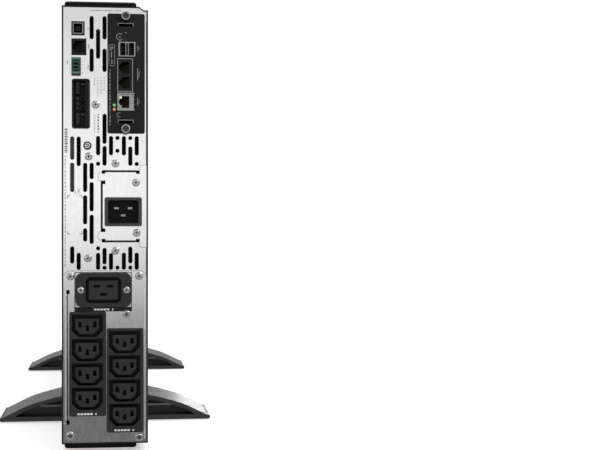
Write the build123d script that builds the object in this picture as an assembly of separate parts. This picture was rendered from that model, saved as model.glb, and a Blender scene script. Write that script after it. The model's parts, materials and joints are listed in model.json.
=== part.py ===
from build123d import *
import os

# Rackmount power supply standing on edge. Millimetres.
# X runs across the narrow width, Y from the connector panel (-Y) to the front bezel (+Y), Z is up.
# Heights are measured from the surface that the feet stand on.

# ---------------------------------------------------------------- driving dimensions
BODY_WIDTH = 86.0
BODY_DEPTH = 667.0
BODY_BOTTOM = 9.0
BODY_TOP = 446.5
SHEET = 1.5  # painted case sheet
PANEL = 1.2  # plated rear panel
BRACKET = 1.0  # plated bracket plates
GAP = 0.1  # clearance between parts that slide or drop into each other

HALF = BODY_WIDTH / 2
REAR = -BODY_DEPTH / 2  # outer face of the rear panel
FRONT = BODY_DEPTH / 2  # outer face of the front bezel
BRACKET_FACE = REAR - BRACKET

# Case: a cover with three walls and a tray with one wall and two lips
COVER_LIP = 0.8  # the cover's edge stands this far behind the panel
SEAM = 30.0  # where the cover's top and bottom walls meet the tray
STEP_START = 34.0  # the tray's top corner steps down from here
STEP_RUN = 4.5
STEP_DROP = 3.4
CASE_FRONT = 306.5
LIP_WIDTH = 10.0
LIP_THICKNESS = 1.2

# Side rails on the narrow sides
RAIL_LEFT = -40.2
RAIL_RIGHT = 31.4
RAIL_HEIGHT = 4.8
RAIL_CHAMFER = 2.0
RAIL_FRONT = 245.0

# Threaded holes for rack ears in the narrow sides
EAR_CENTER_X = -5.0
EAR_CENTER_Y = 285.0
EAR_SPACING_X = 30.0
EAR_SPACING_Y = 25.0
EAR_HOLE_RADIUS = 2.0

# Vents: upright slots in columns of one pitch, as (lowest, highest) heights, and single round holes
VENT_WIDTH = 4.2
VENT_PITCH = 6.43
VENT_FIRST_X = -32.65
VENT_SLOTS = {
    0: [(189.1, 206.3), (260.5, 289.8), (292.7, 315.9)],
    1: [(182.7, 199.9), (286.3, 315.9)],
    2: [(211.1, 224.4), (228.2, 257.3), (260.5, 289.8)],
    3: [(208.6, 237.9), (241.1, 270.5), (273.3, 289.8), (380.5, 403.9), (413.1, 436.4)],
    4: [(182.7, 199.9), (297.2, 316.7), (393.7, 423.5)],
    5: [(188.2, 204.8), (286.9, 306.6), (308.7, 338.8), (380.5, 403.9), (413.1, 436.4)],
    6: [(182.7, 199.6), (297.2, 316.7)],
    8: [(182.7, 199.9), (297.2, 316.7)],
    9: [(189.1, 206.0), (286.9, 306.3)],
    10: [(182.7, 199.9), (297.2, 316.7)],
}
VENT_HOLES = {4: [204.3, 288.8], 5: [184.9], 7: [184.9, 301.9, 314.7], 9: [184.9, 314.7], 10: [288.8]}

# Screws
SCREW_HEAD = 4.0
SCREW_HEAD_HEIGHT = 2.2
SCREW_SHANK = 1.5
SCREW_HOLE = 1.6
SCREW_LENGTH = 6.0
PANEL_SCREWS = [(-9.4, 347.8), (-16.4, 296.1), (10.3, 289.2), (10.3, 201.8), (-17.0, 194.4)]
INLET_SCREWS = [(30.8, 270.1), (31.6, 219.7)]
OUTLET_SCREWS = [(-34.5, 176.3), (34.0, 176.6), (21.5, 138.4), (-34.4, 17.8), (34.0, 15.4)]
EARTH_SCREW = (-17.6, 306.8)
EARTH_WASHER_RADIUS = 4.0
EARTH_SCREW_HEAD = 2.9

# Ports on the left edge, each (centre x, centre z, width, height)
USB_B = (-26.9, 423.8, 13.1, 14.0)
SERIAL = (-26.0, 405.4, 14.8, 16.6)
EPO = (-28.8, 385.7, 9.2, 18.1)
SOCKET = (-24.0, 348.6, 18.1, 49.6)
SOCKET_CORNER = 2.5
SOCKET_DEPTH = 30.0
SOCKET_POCKET = 10.0

# Network card
CARD = (21.0, 379.0, 37.4, 119.7)
CARD_OPENING_HEIGHT = 107.0
CARD_OPENING_WIDTH = 33.0
CARD_PLATE = 1.5
CARD_FACE = REAR - GAP - CARD_PLATE
CARD_DEPTH = 105.0
CARD_SCREWS = {"upper": (20.6, 435.3), "lower": (20.6, 323.2)}
CARD_SCREW_HEAD = 4.6
CARD_SCREW_PROUD = 7.4
BOARD_X = 31.0
BOARD_THICKNESS = 1.6
BOARD_LOW = 327.0
BOARD_HIGH = 431.0
LOUVRE_HEIGHTS = [427.6, 331.1]
RESET = (14.7, 415.6)
USB_A = (21.8, 403.3, 17.1, 14.9)
DUAL_JACK = (20.0, 377.4, 15.6, 33.5)
JACK_HEIGHTS = [385.0, 369.7]
JACK_X = 19.4
NETWORK_JACK = (20.7, 350.8, 17.1, 18.1)
CARD_LEDS = [(9.2, 347.4), (9.2, 343.1)]
LED_RADIUS = 1.7

# Power inlet and its bracket
INLET = (18.1, 240.8, 37.2, 28.9)
INLET_CAVITY = (18.2, 240.8, 30.5, 23.1)
INLET_PROUD = 3.5
INLET_DEPTH = 20.0
INLET_PINS = [(11.4, 244.4, 4.4, 2.0), (24.9, 244.4, 4.4, 2.0), (18.1, 237.2, 4.4, 2.0)]
INLET_PLATE_LEFT = -2.3
INLET_PLATE_RIGHT = 34.5
INLET_PLATE_LOW = 212.2
INLET_PLATE_HIGH = 280.4
INLET_FLANGE_RIGHT = 42.2
INLET_FLANGE_LOW = 205.1
INLET_FLANGE_HIGH = 287.5
INLET_GAP = 2.0
RELIEF = 3.6
TAB = (9.2, 9.0, 3.8)

# Large outlet, above the two blocks of four
LARGE_OUTLET = (-1.6, 162.8, 55.6, 33.7)
LARGE_GROOVE = (35.2, 25.8)
LARGE_CORE = (28.6, 18.8)
LARGE_SLOTS = [(-6.6, 3.9), (6.5, 3.9), (0.0, -4.3)]
LARGE_SLOT_SIZE = (6.5, 2.6)
LARGE_PROUD = 2.5
LARGE_WINDOW = (-1.8, 160.7, 57.2, 39.8)  # the opening in the bracket around its flange
OUTLET_DEPTH = 22.0
GROOVE_DEPTH = 13.0
SLOT_DEPTH = 12.0
CONTACT_LENGTH = 4.0

# Blocks of four outlets, each (centre x, top z)
BLOCKS = {"left": (-17.2, 141.1), "right": (19.9, 124.5)}
BLOCK_WIDTH = 36.5
BLOCK_HEIGHT = 103.9
BLOCK_CORNER = 1.8
BLOCK_PROUD = 2.0
OUTLETS_PER_BLOCK = 4
OUTLET_PITCH = 24.2
OUTLET_FIRST_DROP = 13.8  # from the block's top to the middle of its first outlet
OUTLET_SHIFT = -0.4
OUTLET_GROOVE = (30.8, 22.5, 6.5)
OUTLET_CORE = (23.3, 15.4, 5.5)
OUTLET_CORE_DROP = 0.5
OUTLET_SLOTS = [(-7.3, 1.2), (7.4, 1.2), (0.1, -2.3)]
OUTLET_SLOT_SIZE = (3.3, 5.5)
LABEL_STRIP_HEIGHT = 4.4

# Outlet bracket
OUTLET_PLATE_LEFT = -37.0
OUTLET_PLATE_RIGHT = 41.2
OUTLET_PLATE_HIGH = 181.6
OUTLET_EAR_LOW = 162.0
OUTLET_FOOT_HIGH = 29.6
SLIT_WIDTH = 1.0
SLIT_RELIEF = (3.2, 4.0)

# Stabiliser feet
FOOT_REACH = 122.0
FOOT_LENGTH = 62.0
FOOT_TOP = 31.0
FOOT_BASE = 1.0
FOOT_FLOOR = 4.0
FOOT_STARTS = {"rear": REAR + 145.0, "front": REAR + 512.0}
FOOT_CLEARANCE = 0.3
FOOT_RECESS = 14.0
FOOT_RIM = 4.8  # upright thickness of the shell over each end recess
FOOT_BAND = 6.3  # height of the solid band under each end recess
FOOT_RIB = (16.6, 18.4)
PAD_HEIGHT = 1.6
PAD_WIDTH = 20.0
PAD_LENGTH = 44.0
PAD_MIDDLES = [28.0, 100.0]

# Inside the case
DIVIDER_Y = -14.0
FAN_SIZE = 80.0
FAN_DEPTH = 25.0
FAN_HEIGHTS = {"upper": 320.0, "lower": 130.0}
FAN_BORE = 38.0
FAN_HUB = 16.0
FAN_BLADES = 7
SHELF_TOP = 23.4
TRAY_LOW = 24.0
TRAY_HIGH = 408.0
TRAY_HALF = 40.4
TRAY_BACK = -6.0
TRAY_FRONT = 302.0
CELL = (70.0, 148.0, 93.0)
CELL_ROWS = 4

# Front
FRAME_DEPTH = 6.0
BEZEL_BACK = CASE_FRONT + FRAME_DEPTH + 0.5
BEZEL_LOW = 6.0
BEZEL_HIGH = 449.5
BEZEL_WALL = 2.5
GRILLE_WIDTH = 62.0
GRILLE_SLOT = 4.5
GRILLE_PITCH = 9.0
GRILLE_FIRST = 26.0
GRILLE_COUNT = 34
DISPLAY_Z = 390.0
DISPLAY_SIZE = 68.0
DISPLAY_PROUD = 8.0
DISPLAY_SPIGOT = 26.0
LENS_SIZE = (46.0, 30.0)
BUTTONS = {
    "power": (20.0, -20.0, 5.5),
    "up": (-20.0, -20.0, 3.2),
    "down": (-9.0, -20.0, 3.2),
    "enter": (2.0, -20.0, 3.2),
}
BUTTON_PROUD = 1.0


# ---------------------------------------------------------------- shared shapes
def block(x, y, z):
    """A box between three (low, high) pairs."""
    solid = Box(x[1] - x[0], y[1] - y[0], z[1] - z[0])
    return Pos((x[0] + x[1]) / 2, (y[0] + y[1]) / 2, (z[0] + z[1]) / 2) * solid


def prism(sketch, y_low, y_high):
    """A sketch drawn in X and Z, given thickness from y_low to y_high."""
    plane = Plane(origin=(0, y_high, 0), x_dir=(1, 0, 0), z_dir=(0, -1, 0))
    return extrude(plane * sketch, amount=y_high - y_low)


def patch(x, z, width, height, radius=0.0):
    """A rectangle about a centre in X and Z, with rounded corners if radius is given."""
    shape = RectangleRounded(width, height, radius) if radius else Rectangle(width, height)
    return Pos(x, z) * shape


def span(x_low, x_high, z_low, z_high):
    """A rectangle in X and Z between its edges."""
    return patch((x_low + x_high) / 2, (z_low + z_high) / 2, x_high - x_low, z_high - z_low)


def disc(x, z, radius):
    """A circle about a point in X and Z."""
    return Pos(x, z) * Circle(radius)


def outline(points):
    """A face in X and Z with straight edges between points."""
    return make_face(Polyline(*points, close=True).edges())


def group(solids):
    """Separate solids of one node."""
    return Compound(children=[solid.solids()[0] for solid in solids])


def pan_screw(x, z, face, head=SCREW_HEAD, length=SCREW_LENGTH):
    """A pan-head screw with a cross recess, its head resting on the plane y = face."""
    head_solid = prism(disc(x, z, head), face - SCREW_HEAD_HEIGHT, face)
    head_solid = fillet(head_solid.edges().group_by(Axis.Y)[0], SCREW_HEAD_HEIGHT * 0.7)
    shank = prism(disc(x, z, SCREW_SHANK), face, face + length)
    recess = patch(x, z, head * 0.85, head * 0.22) + patch(x, z, head * 0.22, head * 0.85)
    return head_solid + shank - prism(recess, face - SCREW_HEAD_HEIGHT, face - SCREW_HEAD_HEIGHT + 1.3)


# ---------------------------------------------------------------- case
def case_outline(inset):
    """Outline of the case, with the stepped corner at the top of the tray side."""
    low = BODY_BOTTOM + inset
    high = BODY_TOP - inset
    side = HALF - inset
    points = [
        (-side, low),
        (side, low),
        (side, high - STEP_DROP),
        (STEP_START + STEP_RUN, high - STEP_DROP),
        (STEP_START, high),
        (-side, high),
    ]
    return outline(points)


def ear_holes():
    """Four threads through each narrow side, as upright cylinders."""
    holes = []
    for x in (EAR_CENTER_X - EAR_SPACING_X / 2, EAR_CENTER_X + EAR_SPACING_X / 2):
        for y in (EAR_CENTER_Y - EAR_SPACING_Y / 2, EAR_CENTER_Y + EAR_SPACING_Y / 2):
            for z in (BODY_BOTTOM, BODY_TOP):
                holes.append(Pos(x, y, z) * Cylinder(EAR_HOLE_RADIUS, 4 * SHEET))
    return holes


def outer_cover():
    """Three walls: the wide side and both narrow sides."""
    ring = case_outline(0) - case_outline(SHEET)
    walls = ring & span(-HALF - 1, SEAM, 0, BODY_TOP + 1)
    return prism(walls, REAR - COVER_LIP, CASE_FRONT) - ear_holes()


def base_tray():
    """The other wide side, with a lip under each of the cover's narrow walls."""
    ring = case_outline(0) - case_outline(SHEET)
    wall = ring & span(SEAM + 2 * GAP, HALF + 1, 0, BODY_TOP + 1)
    tray = prism(wall, REAR, CASE_FRONT)
    low = BODY_BOTTOM + SHEET
    high = BODY_TOP - SHEET
    lip_y = (REAR + 3, DIVIDER_Y - 6)
    tray += block((SEAM - LIP_WIDTH, SEAM + 3), lip_y, (low, low + LIP_THICKNESS))
    tray += block((SEAM - LIP_WIDTH, SEAM + 3), lip_y, (high - LIP_THICKNESS, high))
    return tray


def side_rail(face, direction):
    """A ridge along one narrow side, with two shallow grooves along its outer face."""
    width = RAIL_RIGHT - RAIL_LEFT
    middle = (RAIL_LEFT + RAIL_RIGHT) / 2
    outer = face + direction * RAIL_HEIGHT
    rail = block((RAIL_LEFT, RAIL_RIGHT), (REAR + 0.5, RAIL_FRONT), sorted((face, outer)))
    outer_edges = rail.edges().group_by(Axis.Z)[-1 if direction > 0 else 0]
    rail = chamfer(outer_edges, RAIL_CHAMFER)
    for x in (middle - width / 4, middle + width / 4):
        groove = sorted((outer, outer - direction * 1.2))
        rail -= block((x - 5, x + 5), (REAR + 12, RAIL_FRONT - 12), groove)
    return rail


def vent_cuts():
    """Every slot and round hole of the rear panel."""
    cuts = []
    for column, spans in VENT_SLOTS.items():
        x = VENT_FIRST_X + column * VENT_PITCH
        for low, high in spans:
            cuts.append(Pos(x, (low + high) / 2) * Rot(0, 0, 90) * SlotOverall(high - low, VENT_WIDTH))
    for column, heights in VENT_HOLES.items():
        x = VENT_FIRST_X + column * VENT_PITCH
        for z in heights:
            cuts.append(disc(x, z, VENT_WIDTH / 2))
    return cuts


def screw_holes(places):
    return [disc(x, z, SCREW_HOLE) for x, z in places]


def inlet_gaps():
    """The narrow gaps that part the inlet's plate from the rear panel, with square reliefs."""
    left = INLET_PLATE_LEFT
    right = INLET_PLATE_RIGHT
    low = INLET_PLATE_LOW
    high = INLET_PLATE_HIGH
    tab_height = TAB[1]
    gaps = [
        span(left, right, high, high + INLET_GAP),
        span(left, right, low - INLET_GAP, low),
        span(left - INLET_GAP, left, low + tab_height, high - tab_height),
    ]
    for x in (left - 1, right - RELIEF):
        gaps.append(span(x, x + RELIEF, low - INLET_GAP, low + RELIEF - INLET_GAP))
        gaps.append(span(x, x + RELIEF, high - RELIEF + INLET_GAP, high + INLET_GAP))
    for z in (low + tab_height - 0.6, high - tab_height + 0.6 - RELIEF):
        gaps.append(span(left - INLET_GAP, left + RELIEF - 1, z, z + RELIEF))
    return gaps


def outlet_slit():
    """The fold line to the left of the outlets, with a square relief at each end."""
    left = OUTLET_PLATE_LEFT
    width, height = SLIT_RELIEF
    slit = [span(left - SLIT_WIDTH, left, OUTLET_FOOT_HIGH, OUTLET_EAR_LOW)]
    for z in (OUTLET_EAR_LOW - 1.2, OUTLET_FOOT_HIGH + 1.2):
        slit.append(patch(left + 0.2, z, width, height))
    return slit


def rear_panel():
    """Plated panel that carries the vents and every port opening."""
    x, z, width, height = INLET
    cuts = vent_cuts() + screw_holes(PANEL_SCREWS + INLET_SCREWS + OUTLET_SCREWS)
    cuts += screw_holes([EARTH_SCREW] + list(CARD_SCREWS.values()))
    for port_x, port_z, port_width, port_height in (USB_B, SERIAL, EPO):
        cuts.append(patch(port_x, port_z, port_width + 2 * GAP, port_height + 2 * GAP))
    cuts.append(patch(SOCKET[0], SOCKET[1], SOCKET[2] - 2, SOCKET[3] - 2, SOCKET_CORNER - 1))
    cuts.append(patch(CARD[0], CARD[1], CARD_OPENING_WIDTH, CARD_OPENING_HEIGHT))
    cuts.append(patch(x, z, width - 2, height - 2))
    cuts += inlet_gaps()
    cuts += outlet_slit()
    cuts.append(large_outlet_opening())
    for block_x, top in BLOCKS.values():
        cuts.append(patch(block_x, top - BLOCK_HEIGHT / 2, BLOCK_WIDTH - 2, BLOCK_HEIGHT - 2))
    return prism(case_outline(SHEET + GAP) - cuts, REAR, REAR + PANEL)


# ---------------------------------------------------------------- bracket plates
def inlet_bracket():
    """Plate that carries the power inlet, with a wide flange to the right and two tabs to the left."""
    left = INLET_PLATE_LEFT
    right = INLET_PLATE_RIGHT
    plate = span(left, right + 1, INLET_PLATE_LOW, INLET_PLATE_HIGH)
    flange = span(right, INLET_FLANGE_RIGHT, INLET_FLANGE_LOW, INLET_FLANGE_HIGH)
    plate += fillet(flange.vertices().group_by(Axis.X)[0], 3)
    for z in (INLET_PLATE_LOW + TAB[1] / 2, INLET_PLATE_HIGH - TAB[1] / 2):
        plate += patch(left, z, *TAB)
    x, z, width, height = INLET
    holes = screw_holes(INLET_SCREWS) + [patch(x, z, width - 2, height - 2)]
    return prism(plate - holes - inlet_gaps(), BRACKET_FACE, REAR)


def large_outlet_opening():
    return patch(LARGE_OUTLET[0], LARGE_OUTLET[1], LARGE_GROOVE[0] + 3, LARGE_GROOVE[1] + 3, 4)


def outlet_bracket():
    """Plate that carries the outlets. Two ears reach over the slit on the left."""
    left = OUTLET_PLATE_LEFT
    right = OUTLET_PLATE_RIGHT
    low = BODY_BOTTOM + SHEET + 2 * GAP
    plate = span(left, right, low, OUTLET_PLATE_HIGH)
    plate += span(-right, left, OUTLET_EAR_LOW, OUTLET_PLATE_HIGH)
    plate += span(-right, left, low, OUTLET_FOOT_HIGH)
    top_corners = plate.vertices().group_by(Axis.Y)[-1]
    plate = fillet(top_corners, 7)
    holes = screw_holes(OUTLET_SCREWS) + [patch(*LARGE_WINDOW)] + outlet_slit()
    for block_x, top in BLOCKS.values():
        holes.append(patch(block_x, top - BLOCK_HEIGHT / 2, BLOCK_WIDTH - 2, BLOCK_HEIGHT - 2))
    return prism(plate - holes, BRACKET_FACE, REAR)


# ---------------------------------------------------------------- inlet and outlets
def inlet_housing():
    """Moulded inlet: a flange on the bracket and a cavity that the lead's connector enters."""
    x, z, width, height = INLET
    flange = patch(x, z, width, height, 2)
    body = patch(x, z, width - 2.4, height - 2.4, 2)
    mouth = patch(*INLET_CAVITY, 2.5)
    front = BRACKET_FACE - INLET_PROUD
    solid = prism(flange, front, BRACKET_FACE)
    solid += prism(body, BRACKET_FACE, BRACKET_FACE + INLET_DEPTH + 2)
    return solid - prism(mouth, front, front + INLET_DEPTH)


def inlet_pins():
    floor = BRACKET_FACE - INLET_PROUD + INLET_DEPTH
    return group([prism(patch(*pin), floor - INLET_DEPTH + 2.5, floor) for pin in INLET_PINS])


def chamfered_patch(x, z, width, height, corner):
    """A rectangle with its two lower corners cut off at 45 degrees."""
    left = x - width / 2
    right = x + width / 2
    low = z - height / 2
    high = z + height / 2
    points = [(left, high), (left, low + corner), (left + corner, low)]
    points += [(right - corner, low), (right, low + corner), (right, high)]
    return outline(points)


def outlet_centers(name):
    """Middles of the four outlets in one block."""
    x, top = BLOCKS[name]
    first = top - OUTLET_FIRST_DROP
    return [(x + OUTLET_SHIFT, first - i * OUTLET_PITCH) for i in range(OUTLETS_PER_BLOCK)]


def outlet_block(name):
    """A moulding with four outlets: a groove around each core, and three slots in the core."""
    x, top = BLOCKS[name]
    z = top - BLOCK_HEIGHT / 2
    front = BRACKET_FACE - BLOCK_PROUD
    solid = prism(patch(x, z, BLOCK_WIDTH, BLOCK_HEIGHT, BLOCK_CORNER), front, BRACKET_FACE)
    solid += prism(patch(x, z, BLOCK_WIDTH - 2.4, BLOCK_HEIGHT - 2.4), BRACKET_FACE, REAR + OUTLET_DEPTH)
    grooves = []
    slots = []
    for center_x, center_z in outlet_centers(name):
        groove = chamfered_patch(center_x, center_z, *OUTLET_GROOVE)
        core = chamfered_patch(center_x, center_z - OUTLET_CORE_DROP, *OUTLET_CORE)
        grooves.append(groove - core)
        for slot_x, slot_z in OUTLET_SLOTS:
            slots.append(patch(center_x + slot_x, center_z + slot_z, *OUTLET_SLOT_SIZE))
    for groove in grooves:
        solid -= prism(groove, front, front + GROOVE_DEPTH)
    for slot in slots:
        solid -= prism(slot, front, front + SLOT_DEPTH)
    return solid


def large_outlet():
    """The larger outlet, fixed by two screws through its flange."""
    x, z, width, height = LARGE_OUTLET
    front = BRACKET_FACE - LARGE_PROUD
    solid = prism(patch(x, z, width, height, 6), front, REAR)
    body = patch(x, z, LARGE_GROOVE[0] + 2.6, LARGE_GROOVE[1] + 2.6, 3.8)
    solid += prism(body, REAR, REAR + OUTLET_DEPTH)
    groove = patch(x, z, *LARGE_GROOVE, 5) - patch(x, z, *LARGE_CORE, 1)
    solid -= prism(groove, front, front + GROOVE_DEPTH)
    for slot_x, slot_z in LARGE_SLOTS:
        solid -= prism(patch(x + slot_x, z + slot_z, *LARGE_SLOT_SIZE), front, front + SLOT_DEPTH)
    for screw_x, screw_z in large_outlet_screws():
        solid -= prism(disc(screw_x, screw_z, SCREW_HOLE), front, REAR)
    return solid


def large_outlet_screws():
    x, z, width, height = LARGE_OUTLET
    return [(x - 22.3, z), (x + 23.2, z)]


def outlet_contacts():
    """A spring contact at the bottom of every outlet slot."""
    contacts = []
    end = BRACKET_FACE - BLOCK_PROUD + SLOT_DEPTH
    for name in BLOCKS:
        for x, z in outlet_centers(name):
            for slot_x, slot_z in OUTLET_SLOTS:
                contact = patch(x + slot_x, z + slot_z, 1.6, OUTLET_SLOT_SIZE[1] - 1)
                contacts.append(prism(contact, end - CONTACT_LENGTH, end))
    end = BRACKET_FACE - LARGE_PROUD + SLOT_DEPTH
    for slot_x, slot_z in LARGE_SLOTS:
        contact = patch(LARGE_OUTLET[0] + slot_x, LARGE_OUTLET[1] + slot_z, LARGE_SLOT_SIZE[0] - 1, 1.4)
        contacts.append(prism(contact, end - CONTACT_LENGTH, end))
    return group(contacts)


def label_strip():
    """A blank marker strip in the foot of the window, under the large outlet."""
    x, z, width, height = LARGE_WINDOW
    low = z - height / 2 + 0.4
    strip = patch(x, low + LABEL_STRIP_HEIGHT / 2, width - 2 * GAP, LABEL_STRIP_HEIGHT)
    strip -= disc(*OUTLET_SCREWS[2], SCREW_HEAD + 0.3)
    return prism(strip, BRACKET_FACE - 0.3, REAR)


# ---------------------------------------------------------------- small ports
def usb_b_housing():
    """Black insulator with a pocket for the metal shell and a tongue in the middle."""
    x, z, width, height = USB_B
    solid = prism(patch(x, z, width, height), REAR - 0.3, REAR + 14)
    solid -= prism(patch(x, z, width - 2.8, height - 2.9), REAR - 0.3, REAR + 12)
    return solid + prism(patch(x, z, 4.4, 4.6), REAR + 1.5, REAR + 12)


def usb_b_shell():
    x, z, width, height = USB_B
    ring = patch(x, z, width - 2.9, height - 3.0) - patch(x, z, width - 4.5, height - 4.6)
    return prism(ring, REAR - 0.8, REAR + 12)


def serial_jack():
    """A modular jack with its latch notch to the left and a contact comb on the right wall."""
    x, z, width, height = SERIAL
    solid = prism(patch(x, z, width, height), REAR - 0.5, REAR + 16)
    mouth = patch(x + 0.6, z, 9.6, 12.0) + patch(x - 5, z, 2.4, 6.0)
    return solid - prism(mouth, REAR - 0.5, REAR + 13)


def epo_header():
    """Open shroud with four pins, for the pull-off terminal plug."""
    x, z, width, height = EPO
    solid = prism(patch(x, z, width, height), REAR - 0.3, REAR + 12)
    solid -= prism(patch(x, z, width - 1.2, height - 1.2), REAR - 0.3, REAR + 10)
    for i in range(4):
        solid += prism(patch(x, z + (i - 1.5) * 3.8, 1.0, 1.0), REAR + 5, REAR + 10)
    return solid


def epo_plug():
    """Terminal plug with four wire mouths and four pin sockets."""
    x, z, width, height = EPO
    solid = prism(patch(x, z, width - 1.6, height - 1.6), REAR - 6.5, REAR + 4.8)
    for i in range(4):
        solid -= prism(patch(x + 0.3, z + (i - 1.5) * 3.8, 5.4, 1.9), REAR - 6.5, REAR - 2)
    return solid


def battery_socket():
    """Socket for an outside battery pack: a pocket with raised contact towers."""
    x, z, width, height = SOCKET
    front = REAR - 1.5
    solid = prism(patch(x, z, width, height, SOCKET_CORNER), front, REAR)
    solid += prism(patch(x, z, width - 2.4, height - 2.4, 1.2), REAR, REAR + SOCKET_DEPTH)
    solid -= prism(patch(x, z, width - 3.6, height - 3.6, 1.2), front, front + SOCKET_POCKET)
    floor = front + SOCKET_POCKET
    towers = [
        patch(x - 3.2, z + 15.6, 3.2, 11.2),
        patch(x - 3.2, z - 15.5, 3.2, 11.0),
        patch(x + 6.0, z, 3.0, height - 4.6),
    ]
    for tower in towers:
        solid += prism(tower, front + 1.2, floor + 1)
    for post_x, post_z in socket_posts():
        solid += prism(disc(post_x, post_z, 2.4), front + 2.5, floor + 1)
        solid -= prism(disc(post_x, post_z, 1.4), front + 2.5, floor)
    return solid


def socket_posts():
    return [(SOCKET[0] + 1.6, SOCKET[1] + 5.2), (SOCKET[0] + 1.6, SOCKET[1] - 4.0)]


def battery_socket_contacts():
    """Three signal pins and two power blades."""
    x, z = SOCKET[0], SOCKET[1]
    floor = REAR - 1.5 + SOCKET_POCKET
    contacts = [prism(disc(x - 3.3, z + offset, 0.8), floor - 6, floor) for offset in (5.2, 0.5, -4.0)]
    for offset in (19.8, -10.4):
        contacts.append(prism(patch(x + 1.9, z + offset, 3.6, 1.2), floor - 6, floor))
    return group(contacts)


# ---------------------------------------------------------------- screws
def panel_screws():
    """Every pan-head screw of the panel, the brackets and the large outlet."""
    screws = [pan_screw(x, z, REAR) for x, z in PANEL_SCREWS]
    screws += [pan_screw(x, z, BRACKET_FACE) for x, z in INLET_SCREWS + OUTLET_SCREWS]
    large_face = BRACKET_FACE - LARGE_PROUD
    for x, z in large_outlet_screws():
        screws.append(pan_screw(x, z, large_face, SCREW_HEAD - 0.4, LARGE_PROUD + BRACKET))
    return group(screws)


def earth_screw():
    return pan_screw(*EARTH_SCREW, REAR - 0.8, EARTH_SCREW_HEAD)


def earth_washer():
    ring = disc(*EARTH_SCREW, EARTH_WASHER_RADIUS) - disc(*EARTH_SCREW, SCREW_HOLE)
    return prism(ring, REAR - 0.8, REAR)


# ---------------------------------------------------------------- network card
def jack_mouth(x, z):
    """A modular jack's mouth with its stepped latch notch pointing left."""
    return patch(x + 1.0, z, 7.6, 11.6) + patch(x - 3.6, z, 2.0, 6.4) + patch(x - 5.0, z, 1.4, 3.2)


def card_faceplate():
    """Black cover plate with openings for the jacks, two cable-tie louvres and the reset hole."""
    x, z, width, height = CARD
    cuts = [patch(*port) for port in (USB_A, DUAL_JACK, NETWORK_JACK)]
    cuts.append(disc(*RESET, 1.7))
    cuts += screw_holes(CARD_SCREWS.values())
    cuts += [disc(led_x, led_z, LED_RADIUS) for led_x, led_z in CARD_LEDS]
    cuts += [patch(x - 0.4, louvre - 0.2, 15.6, 2.8) for louvre in LOUVRE_HEIGHTS]
    plate = prism(patch(x, z, width, height, 2) - cuts, CARD_FACE, CARD_FACE + CARD_PLATE)
    for louvre in LOUVRE_HEIGHTS:
        plate += prism(patch(x - 0.4, louvre + 1.6, 16.4, 1.6), CARD_FACE - 1.2, CARD_FACE + 0.4)
    return plate


def card_board():
    """Circuit board on edge, with a stiffening foot towards the plate and two large components."""
    thickness = (BOARD_X, BOARD_X + BOARD_THICKNESS)
    board = block(thickness, (CARD_FACE + CARD_PLATE, REAR + CARD_DEPTH), (BOARD_LOW, BOARD_HIGH))
    for y, z, size in ((REAR + 45, 395.0, 24.0), (REAR + 60, 350.0, 16.0)):
        board += block((BOARD_X - 2.4, BOARD_X), (y, y + size), (z - size / 2, z + size / 2))
    return board


def usb_a_shell():
    """Metal shell of two upright sockets side by side."""
    x, z, width, height = USB_A
    solid = prism(patch(x, z, width - 2 * GAP, height - 2 * GAP), CARD_FACE - 0.8, CARD_FACE + 15)
    solid += block((x, BOARD_X), (REAR + 2, CARD_FACE + 15), (z - 4, z + 4))
    for slot_x in usb_a_slots():
        solid -= prism(patch(slot_x, z, 5.4, 12.5), CARD_FACE - 0.8, CARD_FACE + 13)
    return solid


def usb_a_slots():
    return [USB_A[0] - 4.1, USB_A[0] + 4.5]


def usb_a_tongues():
    z = USB_A[1]
    return group([prism(patch(x - 1.2, z, 1.8, 11.0), CARD_FACE + 3, CARD_FACE + 13) for x in usb_a_slots()])


def dual_jack():
    """Two modular jacks in one moulding, one above the other."""
    x, z, width, height = DUAL_JACK
    solid = prism(patch(x, z, width - 2 * GAP, height - 2 * GAP), CARD_FACE - 0.5, CARD_FACE + 18)
    solid += block((x, BOARD_X), (REAR + 2, CARD_FACE + 18), (z - 10, z + 10))
    for jack_z in JACK_HEIGHTS:
        solid -= prism(jack_mouth(JACK_X, jack_z), CARD_FACE - 0.5, CARD_FACE + 14)
    return solid


def network_jack():
    """Shielded jack."""
    x, z, width, height = NETWORK_JACK
    solid = prism(patch(x, z, width - 2 * GAP, height - 2 * GAP), CARD_FACE - 1.0, CARD_FACE + 18)
    solid += block((x, BOARD_X), (REAR + 2, CARD_FACE + 18), (z - 6, z + 6))
    return solid - prism(jack_mouth(JACK_X, z - 0.4), CARD_FACE - 1.0, CARD_FACE + 14)


def card_leds():
    """Two round status lights set in the plate."""
    radius = LED_RADIUS - GAP
    return group([prism(disc(x, z, radius), CARD_FACE - 0.6, CARD_FACE + CARD_PLATE) for x, z in CARD_LEDS])


def reset_button():
    return prism(disc(*RESET, 1.35), CARD_FACE + 0.4, CARD_FACE + 7)


def card_screw(name):
    """Captive thumbscrew: a ribbed head, a driver slot and a shank."""
    x, z = CARD_SCREWS[name]
    back = CARD_FACE - GAP
    front = back - CARD_SCREW_PROUD
    head = prism(disc(x, z, CARD_SCREW_HEAD), front, back)
    head = fillet(head.edges().group_by(Axis.Y)[0], 1.0)
    rib = Pos(CARD_SCREW_HEAD + 0.25, 0) * Circle(0.6)
    ribs = [Pos(x, z) * Rot(0, 0, i * 15) * rib for i in range(24)]
    head -= prism(Sketch() + ribs, front + 1.5, back)
    head -= prism(patch(x, z, 6.4, 1.2) + patch(x, z, 1.2, 6.4), front, front + 1.6)
    return head + prism(disc(x, z, SCREW_SHANK), back, REAR + SCREW_LENGTH)


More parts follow.
